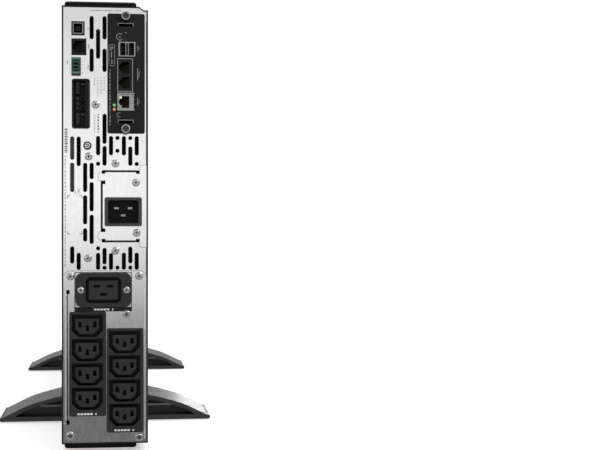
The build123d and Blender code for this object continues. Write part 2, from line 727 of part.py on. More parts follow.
def card_cage():
    """Two grooved guides for the card's board, joined by a stop plate."""
    x = (BOARD_X - 3, BOARD_X + BOARD_THICKNESS + 3)
    low = BOARD_LOW
    high = BOARD_HIGH
    y = (REAR + 8, REAR + CARD_DEPTH + 4)
    cage = block(x, y, (low - 3, low + 3)) + block(x, y, (high - 3, high + 3))
    cage += block(x, (y[1] - 2, y[1]), (low - 3, high + 3))
    groove = (BOARD_X - 0.3, BOARD_X + BOARD_THICKNESS + 0.3)
    cage -= block(groove, (y[0], REAR + CARD_DEPTH + 0.5), (low - 0.4, high + 0.4))
    return cage + block((x[1], HALF - SHEET - GAP), (y[1] - 12, y[1]), (high - 8, high + 3))


# ---------------------------------------------------------------- feet
def foot_back(drop):
    """The sloping upper line of a foot from tip to case, lowered by drop."""
    inner = HALF + FOOT_CLEARANCE
    heights = [(106.0, 11.6), (90.0, 19.0), (73.0, 24.4), (56.0, 28.7), (inner, FOOT_TOP)]
    start = (FOOT_REACH - 3.0, 5.3) if drop == 0 else (FOOT_REACH - 18.0, FOOT_BAND)
    return Spline(start, *[(x, z - drop) for x, z in heights if x < start[0] - drop])


def foot_section():
    """Section of one foot half: a floor plate under the case, a wall beside it and a sloping wing."""
    inner = HALF + FOOT_CLEARANCE
    tip = FOOT_REACH
    nose = ThreePointArc((tip - 2.2, FOOT_BASE), (tip, 2.9), (tip - 3.0, 5.3))
    rest = Polyline(
        (inner, FOOT_TOP),
        (inner, FOOT_FLOOR),
        (0.2, FOOT_FLOOR),
        (0.2, FOOT_BASE),
        (tip - 2.2, FOOT_BASE),
    )
    return make_face([*foot_back(0).edges(), *nose.edges(), *rest.edges()])


def foot_recess():
    """The three-cornered hollow in each end of a foot."""
    wall = HALF + FOOT_CLEARANCE
    rest = Polyline((wall, FOOT_TOP - FOOT_RIM), (wall, FOOT_BAND), (FOOT_REACH - 18.0, FOOT_BAND))
    return make_face([*foot_back(FOOT_RIM).edges(), *rest.edges()])


def foot(name, side):
    """One half of a stabiliser foot, hollow at both ends with a low rib across each hollow."""
    start = FOOT_STARTS[name]
    end = start + FOOT_LENGTH
    solid = prism(foot_section(), start, end)
    recess = foot_recess()
    solid -= prism(recess, start, start + FOOT_RECESS)
    solid -= prism(recess, end - FOOT_RECESS, end)
    rib = recess & span(HALF, FOOT_REACH, *FOOT_RIB)
    solid += prism(rib, start + FOOT_RECESS / 2, start + FOOT_RECESS)
    solid += prism(rib, end - FOOT_RECESS, end - FOOT_RECESS / 2)
    for middle in PAD_MIDDLES:
        x = (middle - PAD_WIDTH / 2, middle + PAD_WIDTH / 2)
        solid -= block(x, pad_span(name), (FOOT_BASE, PAD_HEIGHT))
    return solid if side > 0 else mirror(solid, about=Plane.YZ)


def pad_span(name):
    middle = FOOT_STARTS[name] + FOOT_LENGTH / 2
    return (middle - PAD_LENGTH / 2, middle + PAD_LENGTH / 2)


def foot_pads():
    pads = []
    for name in FOOT_STARTS:
        for side in (-1, 1):
            for middle in PAD_MIDDLES:
                x = sorted((side * (middle - PAD_WIDTH / 2), side * (middle + PAD_WIDTH / 2)))
                pads.append(block(x, pad_span(name), (0, PAD_HEIGHT)))
    return group(pads)


# ---------------------------------------------------------------- inside the case
def divider_wall():
    """Wall between the electronics and the battery bay, open at each fan."""
    inner = HALF - SHEET - GAP
    wall = span(-inner, inner, BODY_BOTTOM + SHEET + GAP, BODY_TOP - SHEET - STEP_DROP - GAP)
    wall -= [disc(0, z, FAN_BORE) for z in FAN_HEIGHTS.values()]
    return prism(wall, DIVIDER_Y, DIVIDER_Y + PANEL)


def fan_frames():
    """Two square fan frames with a round duct and a motor mount on three struts."""
    frames = []
    for z in FAN_HEIGHTS.values():
        section = patch(0, z, FAN_SIZE, FAN_SIZE, 4) - disc(0, z, FAN_BORE)
        frame = prism(section, DIVIDER_Y - FAN_DEPTH, DIVIDER_Y)
        struts = disc(0, z, FAN_HUB)
        for i in range(3):
            struts += Pos(0, z) * Rot(0, 0, 120 * i + 30) * Pos(FAN_BORE / 2, 0) * Rectangle(FAN_BORE + 1, 3)
        frames.append(frame + prism(struts, DIVIDER_Y - 3, DIVIDER_Y))
    return group(frames)


def fan_rotor(name):
    """Hub with curved blades, clear of the duct and of the motor mount."""
    z = FAN_HEIGHTS[name]
    rotor = prism(disc(0, z, FAN_HUB), DIVIDER_Y - FAN_DEPTH + 2, DIVIDER_Y - 3.5)
    reach = FAN_BORE - 1.2
    for i in range(FAN_BLADES):
        blade = Pos(reach / 2 + 4, 0) * Rot(32, 0, 0) * Box(reach - 8, 2.0, 18.0)
        disc_limit = Cylinder(reach, 16)
        blade = blade & disc_limit
        turned = Rot(0, 0, i * 360 / FAN_BLADES) * blade
        rotor += Pos(0, DIVIDER_Y - FAN_DEPTH / 2 - 1, z) * Rot(90, 0, 0) * turned
    return rotor


def battery_shelf():
    """Folded shelf that carries the battery tray above the case's lowest wall."""
    half = HALF - SHEET - GAP
    low = BODY_BOTTOM + SHEET
    y = (DIVIDER_Y + 6, CASE_FRONT - 2)
    shelf = block((-half, half), y, (low, SHELF_TOP))
    return shelf - block((-half + 3, half - 3), y, (low, SHELF_TOP - 2))


def power_board():
    """Main circuit board, upright beside the tray's wall."""
    return block((35.0, 36.6), (REAR + 50, DIVIDER_Y - FAN_DEPTH - 6), (24.0, 300.0))


def heatsinks():
    """Two finned blocks on the main board."""
    sinks = []
    for low in (70.0, 180.0):
        sink = block((5.0, 35.0), (REAR + 70, REAR + 230), (low, low + 60))
        for i in range(7):
            z = low + 6 + i * 8
            sink -= block((5.0, 30.0), (REAR + 70, REAR + 230), (z, z + 4.5))
        sinks.append(sink)
    return group(sinks)


def transformer():
    """Laminated core with a winding around its middle limb."""
    x = (-36.0, 0.0)
    core = block(x, (REAR + 60, REAR + 150), (16.0, 92.0))
    core -= block(x, (REAR + 76, REAR + 92), (34.0, 74.0))
    core -= block(x, (REAR + 118, REAR + 134), (34.0, 74.0))
    return core + block((x[0] - 3, x[1] + 3), (REAR + 94, REAR + 116), (36.0, 72.0))


def capacitors():
    """Four storage capacitors lying along Y."""
    cans = []
    for z in (120.0, 158.0, 196.0, 234.0):
        can = prism(disc(-20.0, z, 17.0), REAR + 70, REAR + 130)
        cans.append(fillet(can.edges().group_by(Axis.Y)[0], 1.5))
    return group(cans)


# ---------------------------------------------------------------- battery
def battery_tray():
    """Sheet tray open on one wide side, filled from there with cells."""
    half = TRAY_HALF
    tray = block((-half, half), (TRAY_BACK, TRAY_FRONT), (TRAY_LOW, TRAY_HIGH))
    inner_y = (TRAY_BACK + PANEL, TRAY_FRONT - PANEL)
    return tray - block((-half - 1, half - PANEL), inner_y, (TRAY_LOW + PANEL, TRAY_HIGH - PANEL))


def battery_cells():
    """Sealed cells in two columns, each with two terminals on the open side."""
    width, length, height = CELL
    right = TRAY_HALF - PANEL - 0.5
    cells = []
    for column in range(2):
        y = TRAY_BACK + PANEL + 2 + column * (length + 4)
        for row in range(CELL_ROWS):
            z = TRAY_LOW + PANEL + 1 + row * (height + 2)
            cell = block((right - width, right), (y, y + length), (z, z + height))
            for terminal_y in (y + 16, y + length - 16):
                blade = (terminal_y - 3, terminal_y + 3)
                cell += block((right - width - 4, right - width), blade, (z + 12, z + 13))
            cells.append(cell)
    return group(cells)


def battery_handle():
    """Fixed pull handle on the tray's front wall."""
    handle = block((-10, 10), (TRAY_FRONT, TRAY_FRONT + 20), (150.0, 270.0))
    handle = fillet(handle.edges().filter_by(Axis.X).group_by(Axis.Y)[-1], 8)
    return handle - block((-10, 10), (TRAY_FRONT, TRAY_FRONT + 15), (158.0, 262.0))


# ---------------------------------------------------------------- front
def front_frame():
    """Moulded ring at the mouth of the case, with four snap posts for the bezel."""
    ring = case_outline(0) - span(-TRAY_HALF - 0.5, TRAY_HALF + 0.5, TRAY_LOW - 0.6, TRAY_HIGH + 1.2)
    solid = prism(ring, CASE_FRONT, CASE_FRONT + FRAME_DEPTH)
    for x, z in snap_posts():
        solid += prism(disc(x, z, 2.5), CASE_FRONT + FRAME_DEPTH, CASE_FRONT + FRAME_DEPTH + 7)
    return solid


def snap_posts():
    return [(x, z) for x in (-30.0, 30.0) for z in (16.0, 430.0)]


def front_bezel():
    """Hollow moulded front with a louvred grille, a round seat for the display and four snap sockets."""
    outer = span(-HALF, HALF, BEZEL_LOW, BEZEL_HIGH)
    solid = prism(fillet(outer.vertices(), 3), BEZEL_BACK, FRONT)
    solid = fillet(solid.edges().group_by(Axis.Y)[-1], 2.2)
    wall = BEZEL_WALL
    hollow = span(-HALF + wall, HALF - wall, BEZEL_LOW + wall, BEZEL_HIGH - wall)
    solid -= prism(hollow, BEZEL_BACK, FRONT - wall)
    solid += prism(sum_of(disc(x, z, 5) for x, z in snap_posts()), BEZEL_BACK, FRONT - wall)
    solid -= prism(sum_of(disc(x, z, 2.8) for x, z in snap_posts()), BEZEL_BACK, BEZEL_BACK + 8)
    heights = [GRILLE_FIRST + i * GRILLE_PITCH for i in range(GRILLE_COUNT)]
    slots = [patch(0, z, GRILLE_WIDTH, GRILLE_SLOT) for z in heights]
    solid -= prism(sum_of(slots), FRONT - wall, FRONT)
    return solid - prism(disc(0, DISPLAY_Z, DISPLAY_SPIGOT + 0.3), BEZEL_BACK, FRONT)


def sum_of(shapes):
    return Sketch() + list(shapes)


def button_place(name):
    x, z, radius = BUTTONS[name]
    return x, DISPLAY_Z + z, radius


def display_housing():
    """Square control module on a round spigot that turns in the bezel."""
    back = FRONT + 0.3
    front = FRONT + DISPLAY_PROUD
    solid = prism(patch(0, DISPLAY_Z, DISPLAY_SIZE, DISPLAY_SIZE, 6), back, front)
    solid = fillet(solid.edges().group_by(Axis.Y)[-1], 1.5)
    solid += prism(disc(0, DISPLAY_Z, DISPLAY_SPIGOT), FRONT - 8, back)
    solid += prism(disc(0, DISPLAY_Z, DISPLAY_SPIGOT + 3), FRONT - 8, FRONT - BEZEL_WALL - 0.3)
    solid -= prism(patch(0, DISPLAY_Z + 10, LENS_SIZE[0] + 0.2, LENS_SIZE[1] + 0.2, 2), front - 1.6, front)
    for name in BUTTONS:
        x, z, radius = button_place(name)
        solid -= prism(disc(x, z, radius + 0.15), front - 5, front)
    return solid


def display_lens():
    front = FRONT + DISPLAY_PROUD
    return prism(patch(0, DISPLAY_Z + 10, *LENS_SIZE, 2), front - 1.6, front - 0.1)


def button(name):
    """Round push button, proud of the module and with room behind it to travel."""
    x, z, radius = button_place(name)
    front = FRONT + DISPLAY_PROUD + BUTTON_PROUD
    solid = prism(disc(x, z, radius), front - 4, front)
    return fillet(solid.edges().group_by(Axis.Y)[-1], 0.5)


# ---------------------------------------------------------------- every node
NODES = {
    "outer_cover": outer_cover(),
    "base_tray": base_tray(),
    "top_rail": side_rail(BODY_TOP, 1),
    "bottom_rail": side_rail(BODY_BOTTOM, -1),
    "rear_panel": rear_panel(),
    "inlet_bracket": inlet_bracket(),
    "outlet_bracket": outlet_bracket(),
    "inlet_housing": inlet_housing(),
    "inlet_pins": inlet_pins(),
    "large_outlet": large_outlet(),
    "left_outlet_block": outlet_block("left"),
    "right_outlet_block": outlet_block("right"),
    "outlet_contacts": outlet_contacts(),
    "label_strip": label_strip(),
    "usb_b_housing": usb_b_housing(),
    "usb_b_shell": usb_b_shell(),
    "serial_jack": serial_jack(),
    "epo_header": epo_header(),
    "epo_plug": epo_plug(),
    "battery_socket": battery_socket(),
    "battery_socket_contacts": battery_socket_contacts(),
    "panel_screws": panel_screws(),
    "earth_screw": earth_screw(),
    "earth_washer": earth_washer(),
    "card_faceplate": card_faceplate(),
    "card_board": card_board(),
    "usb_a_shell": usb_a_shell(),
    "usb_a_tongues": usb_a_tongues(),
    "dual_jack": dual_jack(),
    "network_jack": network_jack(),
    "card_leds": card_leds(),
    "reset_button": reset_button(),
    "card_screw_upper": card_screw("upper"),
    "card_screw_lower": card_screw("lower"),
    "card_cage": card_cage(),
    "rear_foot_left": foot("rear", -1),
    "rear_foot_right": foot("rear", 1),
    "front_foot_left": foot("front", -1),
    "front_foot_right": foot("front", 1),
    "foot_pads": foot_pads(),
    "divider_wall": divider_wall(),
    "fan_frames": fan_frames(),
    "fan_rotor_upper": fan_rotor("upper"),
    "fan_rotor_lower": fan_rotor("lower"),
    "battery_shelf": battery_shelf(),
    "power_board": power_board(),
    "heatsinks": heatsinks(),
    "transformer": transformer(),
    "capacitors": capacitors(),
    "battery_tray": battery_tray(),
    "battery_cells": battery_cells(),
    "battery_handle": battery_handle(),
    "front_frame": front_frame(),
    "front_bezel": front_bezel(),
    "display_housing": display_housing(),
    "display_lens": display_lens(),
    "power_button": button("power"),
    "up_button": button("up"),
    "down_button": button("down"),
    "enter_button": button("enter"),
}

os.makedirs("parts", exist_ok=True)
for node_name, shape in NODES.items():
    export_step(shape, f"parts/{node_name}.step")
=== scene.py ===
"""Looks of the upright rackmount UPS, built round its CAD. Shapes are given in millimetres."""
import json
import math
import random

import bmesh
import bpy
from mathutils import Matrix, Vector


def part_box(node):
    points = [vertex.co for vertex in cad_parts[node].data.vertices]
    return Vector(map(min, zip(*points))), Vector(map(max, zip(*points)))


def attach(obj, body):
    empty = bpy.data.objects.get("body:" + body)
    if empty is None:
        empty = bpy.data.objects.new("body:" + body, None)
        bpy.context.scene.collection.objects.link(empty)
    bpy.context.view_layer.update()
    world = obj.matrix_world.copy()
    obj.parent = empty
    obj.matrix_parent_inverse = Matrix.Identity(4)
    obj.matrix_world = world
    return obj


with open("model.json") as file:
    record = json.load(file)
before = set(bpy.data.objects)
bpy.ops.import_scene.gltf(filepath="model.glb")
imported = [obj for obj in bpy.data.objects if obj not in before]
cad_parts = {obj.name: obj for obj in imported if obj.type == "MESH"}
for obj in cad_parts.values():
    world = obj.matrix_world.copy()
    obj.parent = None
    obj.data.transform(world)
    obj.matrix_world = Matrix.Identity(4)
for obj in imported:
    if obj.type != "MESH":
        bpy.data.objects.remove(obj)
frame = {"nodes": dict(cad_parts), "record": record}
nodes = frame["nodes"]
bpy.context.view_layer.update()

MM = 0.001
EVEN = (1, 1, 1)  # noise or grain without direction


# ------ shader helpers
def feed(tree, value, socket):
    """Gives an input a plain value, or links another node's output to it."""
    if isinstance(value, bpy.types.NodeSocket):
        tree.links.new(value, socket)
    else:
        socket.default_value = value


def add_node(tree, kind, **values):
    """A shader node. A value or another node's output goes to the setting or input of that name."""
    node = tree.nodes.new("ShaderNode" + kind)
    for key, value in values.items():
        if hasattr(node, key):
            setattr(node, key, value)
        else:
            feed(tree, value, node.inputs[key.replace("_", " ").title()])
    return node


def new_material(name, color, roughness, metallic=0.0):
    """A material whose shader has these plain values, to which nodes are added."""
    material = bpy.data.materials.new(name)
    material.use_nodes = True
    shader = material.node_tree.nodes["Principled BSDF"]
    shader.inputs["Base Color"].default_value = (*color, 1.0)
    shader.inputs["Roughness"].default_value = roughness
    shader.inputs["Metallic"].default_value = metallic
    return material, material.node_tree, shader


def object_position(tree, scale=EVEN, rotation=(0, 0, 0)):
    """Place on the object in metres, turned and scaled along each axis."""
    place = add_node(tree, "TexCoord").outputs["Object"]
    return add_node(tree, "Mapping", scale=scale, rotation=rotation, vector=place).outputs["Vector"]


def noise(tree, scale, detail=2.0, stretch=EVEN):
    """Noise with features about 1/scale metres across, drawn out along axes with a small stretch."""
    place = object_position(tree, stretch)
    return add_node(tree, "TexNoise", scale=scale, detail=detail, vector=place).outputs["Fac"]


def remap(tree, value, low, high, to_low, to_high):
    """A value moved from low..high to another range, and kept within it."""
    source = {"from_min": low, "from_max": high, "to_min": to_low, "to_max": to_high}
    return add_node(tree, "MapRange", value=value, **source).outputs["Result"]


def math_node(tree, operation, first, second):
    """Two values, or a value and a number, put through one sum."""
    node = add_node(tree, "Math", operation=operation)
    for value, socket in zip((first, second), node.inputs):
        feed(tree, value, socket)
    return node.outputs["Value"]


def mix_color(tree, factor, first, second):
    """Two colours mixed, each given as three numbers."""
    node = add_node(tree, "Mix", data_type="RGBA", factor=factor)
    for color, socket in zip((first, second), node.inputs[6:8]):
        socket.default_value = (*color, 1.0)
    return node.outputs[2]


def grey(value):
    """A colour without hue."""
    return (value, value, value)


def shade(color, factor):
    """A colour made darker or lighter."""
    return tuple(min(1.0, part * factor) for part in color)


def vary_color(tree, shader, color, scale, amount):
    """Blotches of slightly darker and lighter colour."""
    value = remap(tree, noise(tree, scale, 3.0), 0.3, 0.7, 0.0, 1.0)
    mixed = mix_color(tree, value, shade(color, 1 - amount), shade(color, 1 + amount))
    tree.links.new(mixed, shader.inputs["Base Color"])
    return mixed


def vary_roughness(tree, shader, scale, low, high, stretch=EVEN):
    """Gloss that wanders between two values of roughness."""
    value = remap(tree, noise(tree, scale, 4.0, stretch), 0.3, 0.7, low, high)
    tree.links.new(value, shader.inputs["Roughness"])


def add_bump(tree, shader, height, distance):
    """Bump whose height is in metres."""
    node = add_node(tree, "Bump", distance=distance, strength=1.0)
    tree.links.new(height, node.inputs["Height"])
    tree.links.new(node.outputs["Normal"], shader.inputs["Normal"])


# ------ materials
def powder_coat(name, color, gloss):
    """Black powder coat: fine orange peel, slightly uneven gloss."""
    material, tree, shader = new_material(name, color, 0.5)
    shader.inputs["Specular IOR Level"].default_value = gloss
    vary_color(tree, shader, color, 14, 0.18)
    vary_roughness(tree, shader, 260, 0.38, 0.56)
    add_bump(tree, shader, noise(tree, 1100, 2.0), 0.00009)
    return material


def plated(name, color, low, high, dull=0.05, grain=EVEN):
    """Plated sheet or screw: faint blotches in the plating and a fine grain."""
    material, tree, shader = new_material(name, color, 0.3, 1.0)
    vary_color(tree, shader, color, 26, dull)
    vary_roughness(tree, shader, 420, low, high, grain)
    add_bump(tree, shader, noise(tree, 900, 3.0, grain), 0.000003)
    return material


def plastic(name, color, low, high, texture=0.00003, gloss=0.25):
    """Moulded plastic with a spark-eroded texture."""
    material, tree, shader = new_material(name, color, 0.45)
    shader.inputs["Specular IOR Level"].default_value = gloss
    vary_color(tree, shader, color, 30, 0.14)
    vary_roughness(tree, shader, 350, low, high)
    add_bump(tree, shader, noise(tree, 1700, 2.0), texture)
    return material


def gloss_plastic(name, color, roughness):
    """Polished plastic with faint handling marks."""
    material, tree, shader = new_material(name, color, roughness)
    vary_color(tree, shader, color, 40, 0.1)
    vary_roughness(tree, shader, 90, roughness * 0.7, roughness * 1.5)
    shader.inputs["Coat Weight"].default_value = 0.5
    shader.inputs["Coat Roughness"].default_value = 0.08
    return material


def circuit_board(name):
    """Green solder resist over copper tracks."""
    green = (0.018, 0.095, 0.04)
    material, tree, shader = new_material(name, green, 0.32)
    place = object_position(tree, rotation=(0, math.radians(90), math.radians(90)))
    size = {"mortar_size": 0.00035, "brick_width": 0.0075, "row_height": 0.0021}
    tracks = add_node(tree, "TexBrick", scale=1.0, offset=0.5, vector=place, **size)
    patches = remap(tree, noise(tree, 60, 1.0), 0.47, 0.5, 0.0, 1.0)
    shown = math_node(tree, "MULTIPLY", tracks.outputs["Fac"], patches)
    lifted = mix_color(tree, shown, green, (0.05, 0.2, 0.07))
    tree.links.new(lifted, shader.inputs["Base Color"])
    vary_roughness(tree, shader, 200, 0.25, 0.42)
    add_bump(tree, shader, shown, 0.00004)
    return material


def laminated_core(name):
    """Stacked core plates under varnish, in fine level lines."""
    material, tree, shader = new_material(name, (0.06, 0.05, 0.045), 0.45, 0.6)
    lines = {"scale": 330.0, "distortion": 0.4, "detail": 1.0, "vector": object_position(tree)}
    plates = add_node(tree, "TexWave", bands_direction="Z", **lines).outputs["Fac"]
    mixed = mix_color(tree, plates, (0.035, 0.03, 0.028), (0.13, 0.11, 0.095))
    tree.links.new(mixed, shader.inputs["Base Color"])
    add_bump(tree, shader, plates, 0.0001)
    return material


def woven_screen(name):
    """Fine black mesh: crossed threads over dark gaps."""
    material, tree, shader = new_material(name, grey(0.003), 0.7)
    shader.inputs["Specular IOR Level"].default_value = 0.1
    threads = []
    for axis in "XZ":
        place = object_position(tree)
        thread = add_node(tree, "TexWave", bands_direction=axis, scale=400.0, vector=place)
        threads.append(thread.outputs["Fac"])
    weave = math_node(tree, "MAXIMUM", *threads)
    mixed = mix_color(tree, weave, grey(0.001), grey(0.005))
    tree.links.new(mixed, shader.inputs["Base Color"])
    add_bump(tree, shader, weave, 0.0001)
    return material


def rubber(name, color):
    """Dull rubber with a fine uneven skin."""
    material, tree, shader = new_material(name, color, 0.85)
    vary_color(tree, shader, color, 90, 0.25)
    vary_roughness(tree, shader, 700, 0.78, 0.95)
    add_bump(tree, shader, noise(tree, 1500, 3.0), 0.00005)
    return material


def glowing(name, color, strength):
    """Lit lens: a tinted body that gives off its own light, brighter in patches."""
    material, tree, shader = new_material(name, color, 0.2)
    mixed = vary_color(tree, shader, color, 500, 0.2)
    tree.links.new(mixed, shader.inputs["Emission Color"])
    shader.inputs["Emission Strength"].default_value = strength
    return material


THIN = 0.00001  # texture height of paint, print and film

# Finishes that pieces use as well as CAD nodes
BRIGHT_STEEL = plated("bright_screw_steel", (0.5, 0.5, 0.495), 0.16, 0.26, 0.08)
# nickel plate; also used for the painted highlight strips on the card's louvres
NICKEL_AND_HIGHLIGHT = plated("nickel_plate", (0.36, 0.355, 0.35), 0.22, 0.36, 0.1)
# brass darkened far below its own colour: painted shade on contacts deep in their sockets
SHADED_BRASS = plated("contact_brass", (0.05, 0.038, 0.018), 0.3, 0.45, 0.18)
ALUMINIUM = plated("extruded_aluminium", (0.62, 0.62, 0.64), 0.3, 0.45, 0.06, (1, 0.1, 1))
# black oxide of the thumbscrews; also the painted shade on the floor of every pan-head recess
DARK_OXIDE_AND_SHADE = plated("black_oxide", grey(0.09), 0.35, 0.5)
RAIL_BLACK = powder_coat("rail_powder_coat", (0.004, 0.004, 0.0043), 0.05)
# black connector plastic; also the darker plastic painted as shade in the inlet's cavity and the shells'
# spring slots
CONNECTOR_AND_SHADE = plastic("connector_plastic", (0.007, 0.007, 0.0075), 0.34, 0.46, 0.00003, 0.2)
HANDLE = plastic("handle_plastic", grey(0.012), 0.45, 0.6, 0.00006)
BUTTON = plastic("button_plastic", (0.07, 0.07, 0.075), 0.4, 0.5)
# black rubber; also the black strips painted as shadow in gaps, on cover screw heads and in the battery
# plug's mouths
RUBBER_AND_SHADE_BLACK = rubber("pad_rubber", grey(0.012))

# Finishes of pieces only
# pale steel; on the bracket's rolled edges it paints the highlight the folds catch
PALE_STEEL_AND_EDGE_HIGHLIGHT = plated("pale_steel_and_edge_highlight", grey(0.95), 0.4, 0.5, 0.02)
COPPER = plated("link_copper", (0.6, 0.27, 0.15), 0.25, 0.38, 0.1)
GOLD = plated("gold_flash", (0.75, 0.5, 0.18), 0.25, 0.35)
BLACK_SCREW = plated("black_cover_screw", (0.16, 0.16, 0.165), 0.3, 0.42)
# black mesh of the front dust screen; behind the rear vents it is painted shade
SCREEN_AND_VENT_SHADE = woven_screen("woven_screen")
BAFFLE = plastic("grey_baffle", grey(0.06), 0.5, 0.6)
# painted contact shadow along the edges of the bracket plates
CONTACT_SHADOW_GREY = plastic("joint_shadow", grey(0.12), 0.5, 0.6, THIN)
# painted highlight on the front edge of each foot rib
RIB_HIGHLIGHT_PLASTIC = plastic("foot_rib_highlight_plastic", (0.13, 0.13, 0.131), 0.4, 0.5, 0.00004)
SOCKET_GREY = plastic("socket_rib_plastic", (0.03, 0.03, 0.031), 0.35, 0.45)
TERMINAL_LIGHT = plastic("terminal_cap_plastic", (0.045, 0.115, 0.085), 0.35, 0.48, 0.00002, 0.35)
RED_PLASTIC = plastic("red_boot_plastic", (0.3, 0.02, 0.015), 0.4, 0.5)
GREY_PLUG = plastic("grey_plug_plastic", (0.1, 0.1, 0.105), 0.42, 0.55)
CHIP = plastic("chip_resin", (0.012, 0.012, 0.013), 0.5, 0.62, THIN)
CERAMIC = plastic("ceramic_parts", (0.16, 0.1, 0.06), 0.4, 0.5, THIN)
LABEL_PAPER = plastic("label_paper", (0.42, 0.42, 0.4), 0.6, 0.75, THIN)
CARD_PRINT = plastic("grey_print", grey(0.22), 0.5, 0.6, THIN)
PANEL_PRINT = plastic("panel_print", grey(0.07), 0.5, 0.6, THIN)
FAINT_PRINT = plastic("faint_print", grey(0.22), 0.5, 0.6, THIN)
PALE_PRINT = plastic("pale_print", grey(0.5), 0.5, 0.6, THIN)
GREEN_GLOW = glowing("green_light", (0.02, 0.25, 0.03), 0.4)
AMBER_GLOW = glowing("amber_light", (0.45, 0.08, 0.02), 0.4)
PALE_GLOW = glowing("pale_light", (0.5, 0.6, 0.3), 0.6)
LED_OFF = glowing("unlit_light", (0.2, 0.2, 0.18), 0.02)
AMBER_OFF = glowing("unlit_amber_light", (0.16, 0.06, 0.01), 0.02)
SEGMENT = glowing("display_segment", (0.45, 0.65, 0.95), 0.9)

FINISH_OF_SLOT = {
    "case_black": powder_coat("case_powder_coat", (0.007, 0.007, 0.0075), 0.18),
    "card_black": powder_coat("card_satin_paint", (0.008, 0.008, 0.0085), 0.15),
    "plated_steel": plated("plated_steel", grey(0.86), 0.175, 0.21, 0.025, (1, 1, 0.35)),
    "sheet_inner": plated("inner_zinc_sheet", (0.66, 0.66, 0.65), 0.32, 0.5, 0.08, (1, 0.25, 1)),
    "screw_steel": BRIGHT_STEEL,
    "contact_silver": NICKEL_AND_HIGHLIGHT,
    "contact_brass": SHADED_BRASS,
    "heatsink": ALUMINIUM,
    "washer_dark": DARK_OXIDE_AND_SHADE,
    "connector_black": CONNECTOR_AND_SHADE,
    "outlet_black": plastic("outlet_plastic", (0.016, 0.016, 0.0165), 0.36, 0.5),
    "terminal_green": plastic("terminal_plastic", (0.003, 0.042, 0.025), 0.35, 0.48, 0.00002, 0.35),
    "strip_black": plastic("strip_film", (0.006, 0.006, 0.007), 0.4, 0.5, THIN),
    "button_grey": BUTTON,
    "foot_plastic": plastic("foot_plastic", (0.022, 0.022, 0.023), 0.36, 0.5, 0.00008, 0.5),
    "bezel_black": plastic("bezel_plastic", (0.012, 0.012, 0.0125), 0.36, 0.5, 0.00005, 0.4),
    "fan_black": plastic("fan_plastic", grey(0.008), 0.4, 0.5),
    "cell_case": plastic("cell_case_plastic", (0.04, 0.042, 0.048), 0.42, 0.56, 0.00006, 0.4),
    "handle_black": HANDLE,
    "pad_rubber": RUBBER_AND_SHADE_BLACK,
    "board_green": circuit_board("circuit_board"),
    "core_iron": laminated_core("laminated_core"),
    "can_sleeve": gloss_plastic("capacitor_sleeve", (0.012, 0.016, 0.045), 0.3),
    "display_black": gloss_plastic("display_gloss", (0.006, 0.006, 0.007), 0.14),
    "lens_blue": gloss_plastic("display_window", (0.02, 0.06, 0.16), 0.08),
    "led_lens": glowing("led_lens", (0.3, 0.34, 0.28), 0.1),
}
FINISH_OF_NODE = {
    "inlet_housing": plastic("inlet_plastic", (0.034, 0.034, 0.035), 0.4, 0.5),
    "top_rail": RAIL_BLACK,
    "bottom_rail": RAIL_BLACK,
    "card_screw_upper": DARK_OXIDE_AND_SHADE,
    "card_screw_lower": DARK_OXIDE_AND_SHADE,
    "battery_socket_contacts": DARK_OXIDE_AND_SHADE,
    "outlet_contacts": plated("shaded_contact", (0.02, 0.018, 0.014), 0.35, 0.5),
}
slot_of_node = {part["node"]: part["material_slot"] for part in frame["record"]["subparts"]}
for name, node in nodes.items():
    node.data.materials.clear()
    node.data.materials.append(FINISH_OF_NODE.get(name, FINISH_OF_SLOT[slot_of_node[name]]))


# ------ edges of the CAD nodes
BEVEL_WIDTHS = {
    0.2: ("network_jack", "usb_a_shell", "usb_b_shell"),
    0.25: ("card_faceplate",),
    0.3: ("epo_plug", "serial_jack", "battery_tray", "heatsinks"),
    0.35: ("left_outlet_block", "right_outlet_block", "battery_socket"),
    0.4: ("outer_cover", "base_tray", "inlet_housing", "large_outlet", "front_bezel"),
    0.5: ("top_rail", "bottom_rail", "fan_frames"),
    0.6: ("transformer",),
    0.8: ("rear_foot_left", "rear_foot_right", "front_foot_left", "front_foot_right"),
    1.2: ("battery_cells",),
}


def soften_edges(node, width):
    """Small rounded edges, so that they catch the light as real ones do."""
    weld = node.modifiers.new("weld", "WELD")
    weld.merge_threshold = 0.000005
    bevel = node.modifiers.new("bevel", "BEVEL")
    bevel.width = width * MM
    bevel.segments = 2
    bevel.limit_method = "ANGLE"
    bevel.angle_limit = math.radians(40)
    bevel.harden_normals = True
    node.modifiers.new("normals", "WEIGHTED_NORMAL").keep_sharp = True


for width, names in BEVEL_WIDTHS.items():
    for name in names:
        soften_edges(nodes[name], width)


# ------ mesh helpers, in millimetres
def point(x, y, z):
    """A place given in millimetres."""
    return Vector((x, y, z)) * MM


def add_prism(built, near, far):
    """A solid with straight sides between two outlines that match point for point."""
    near = [built.verts.new(place) for place in near]
    far = [built.verts.new(place) for place in far]
    built.faces.new(near)
    built.faces.new(far[::-1])
    for i in range(len(near)):
        j = (i + 1) % len(near)
        built.faces.new((near[i], far[i], far[j], near[j]))


def add_slab(built, corners, y_front, y_back):
    """A plate whose outline is given in X and Z, between two values of Y."""
    add_prism(built, *([point(x, y, z) for x, z in corners] for y in (y_front, y_back)))


def add_side_slab(built, corners, x_near, x_far):
    """A plate whose outline is given in Y and Z, between two values of X."""
    add_prism(built, *([point(x, y, z) for y, z in corners] for x in (x_near, x_far)))


def add_box(built, x, y, z):
    """A block between two values on each axis."""
    add_slab(built, [(x[0], z[0]), (x[1], z[0]), (x[1], z[1]), (x[0], z[1])], y[0], y[1])


CORNER_STEPS = 5


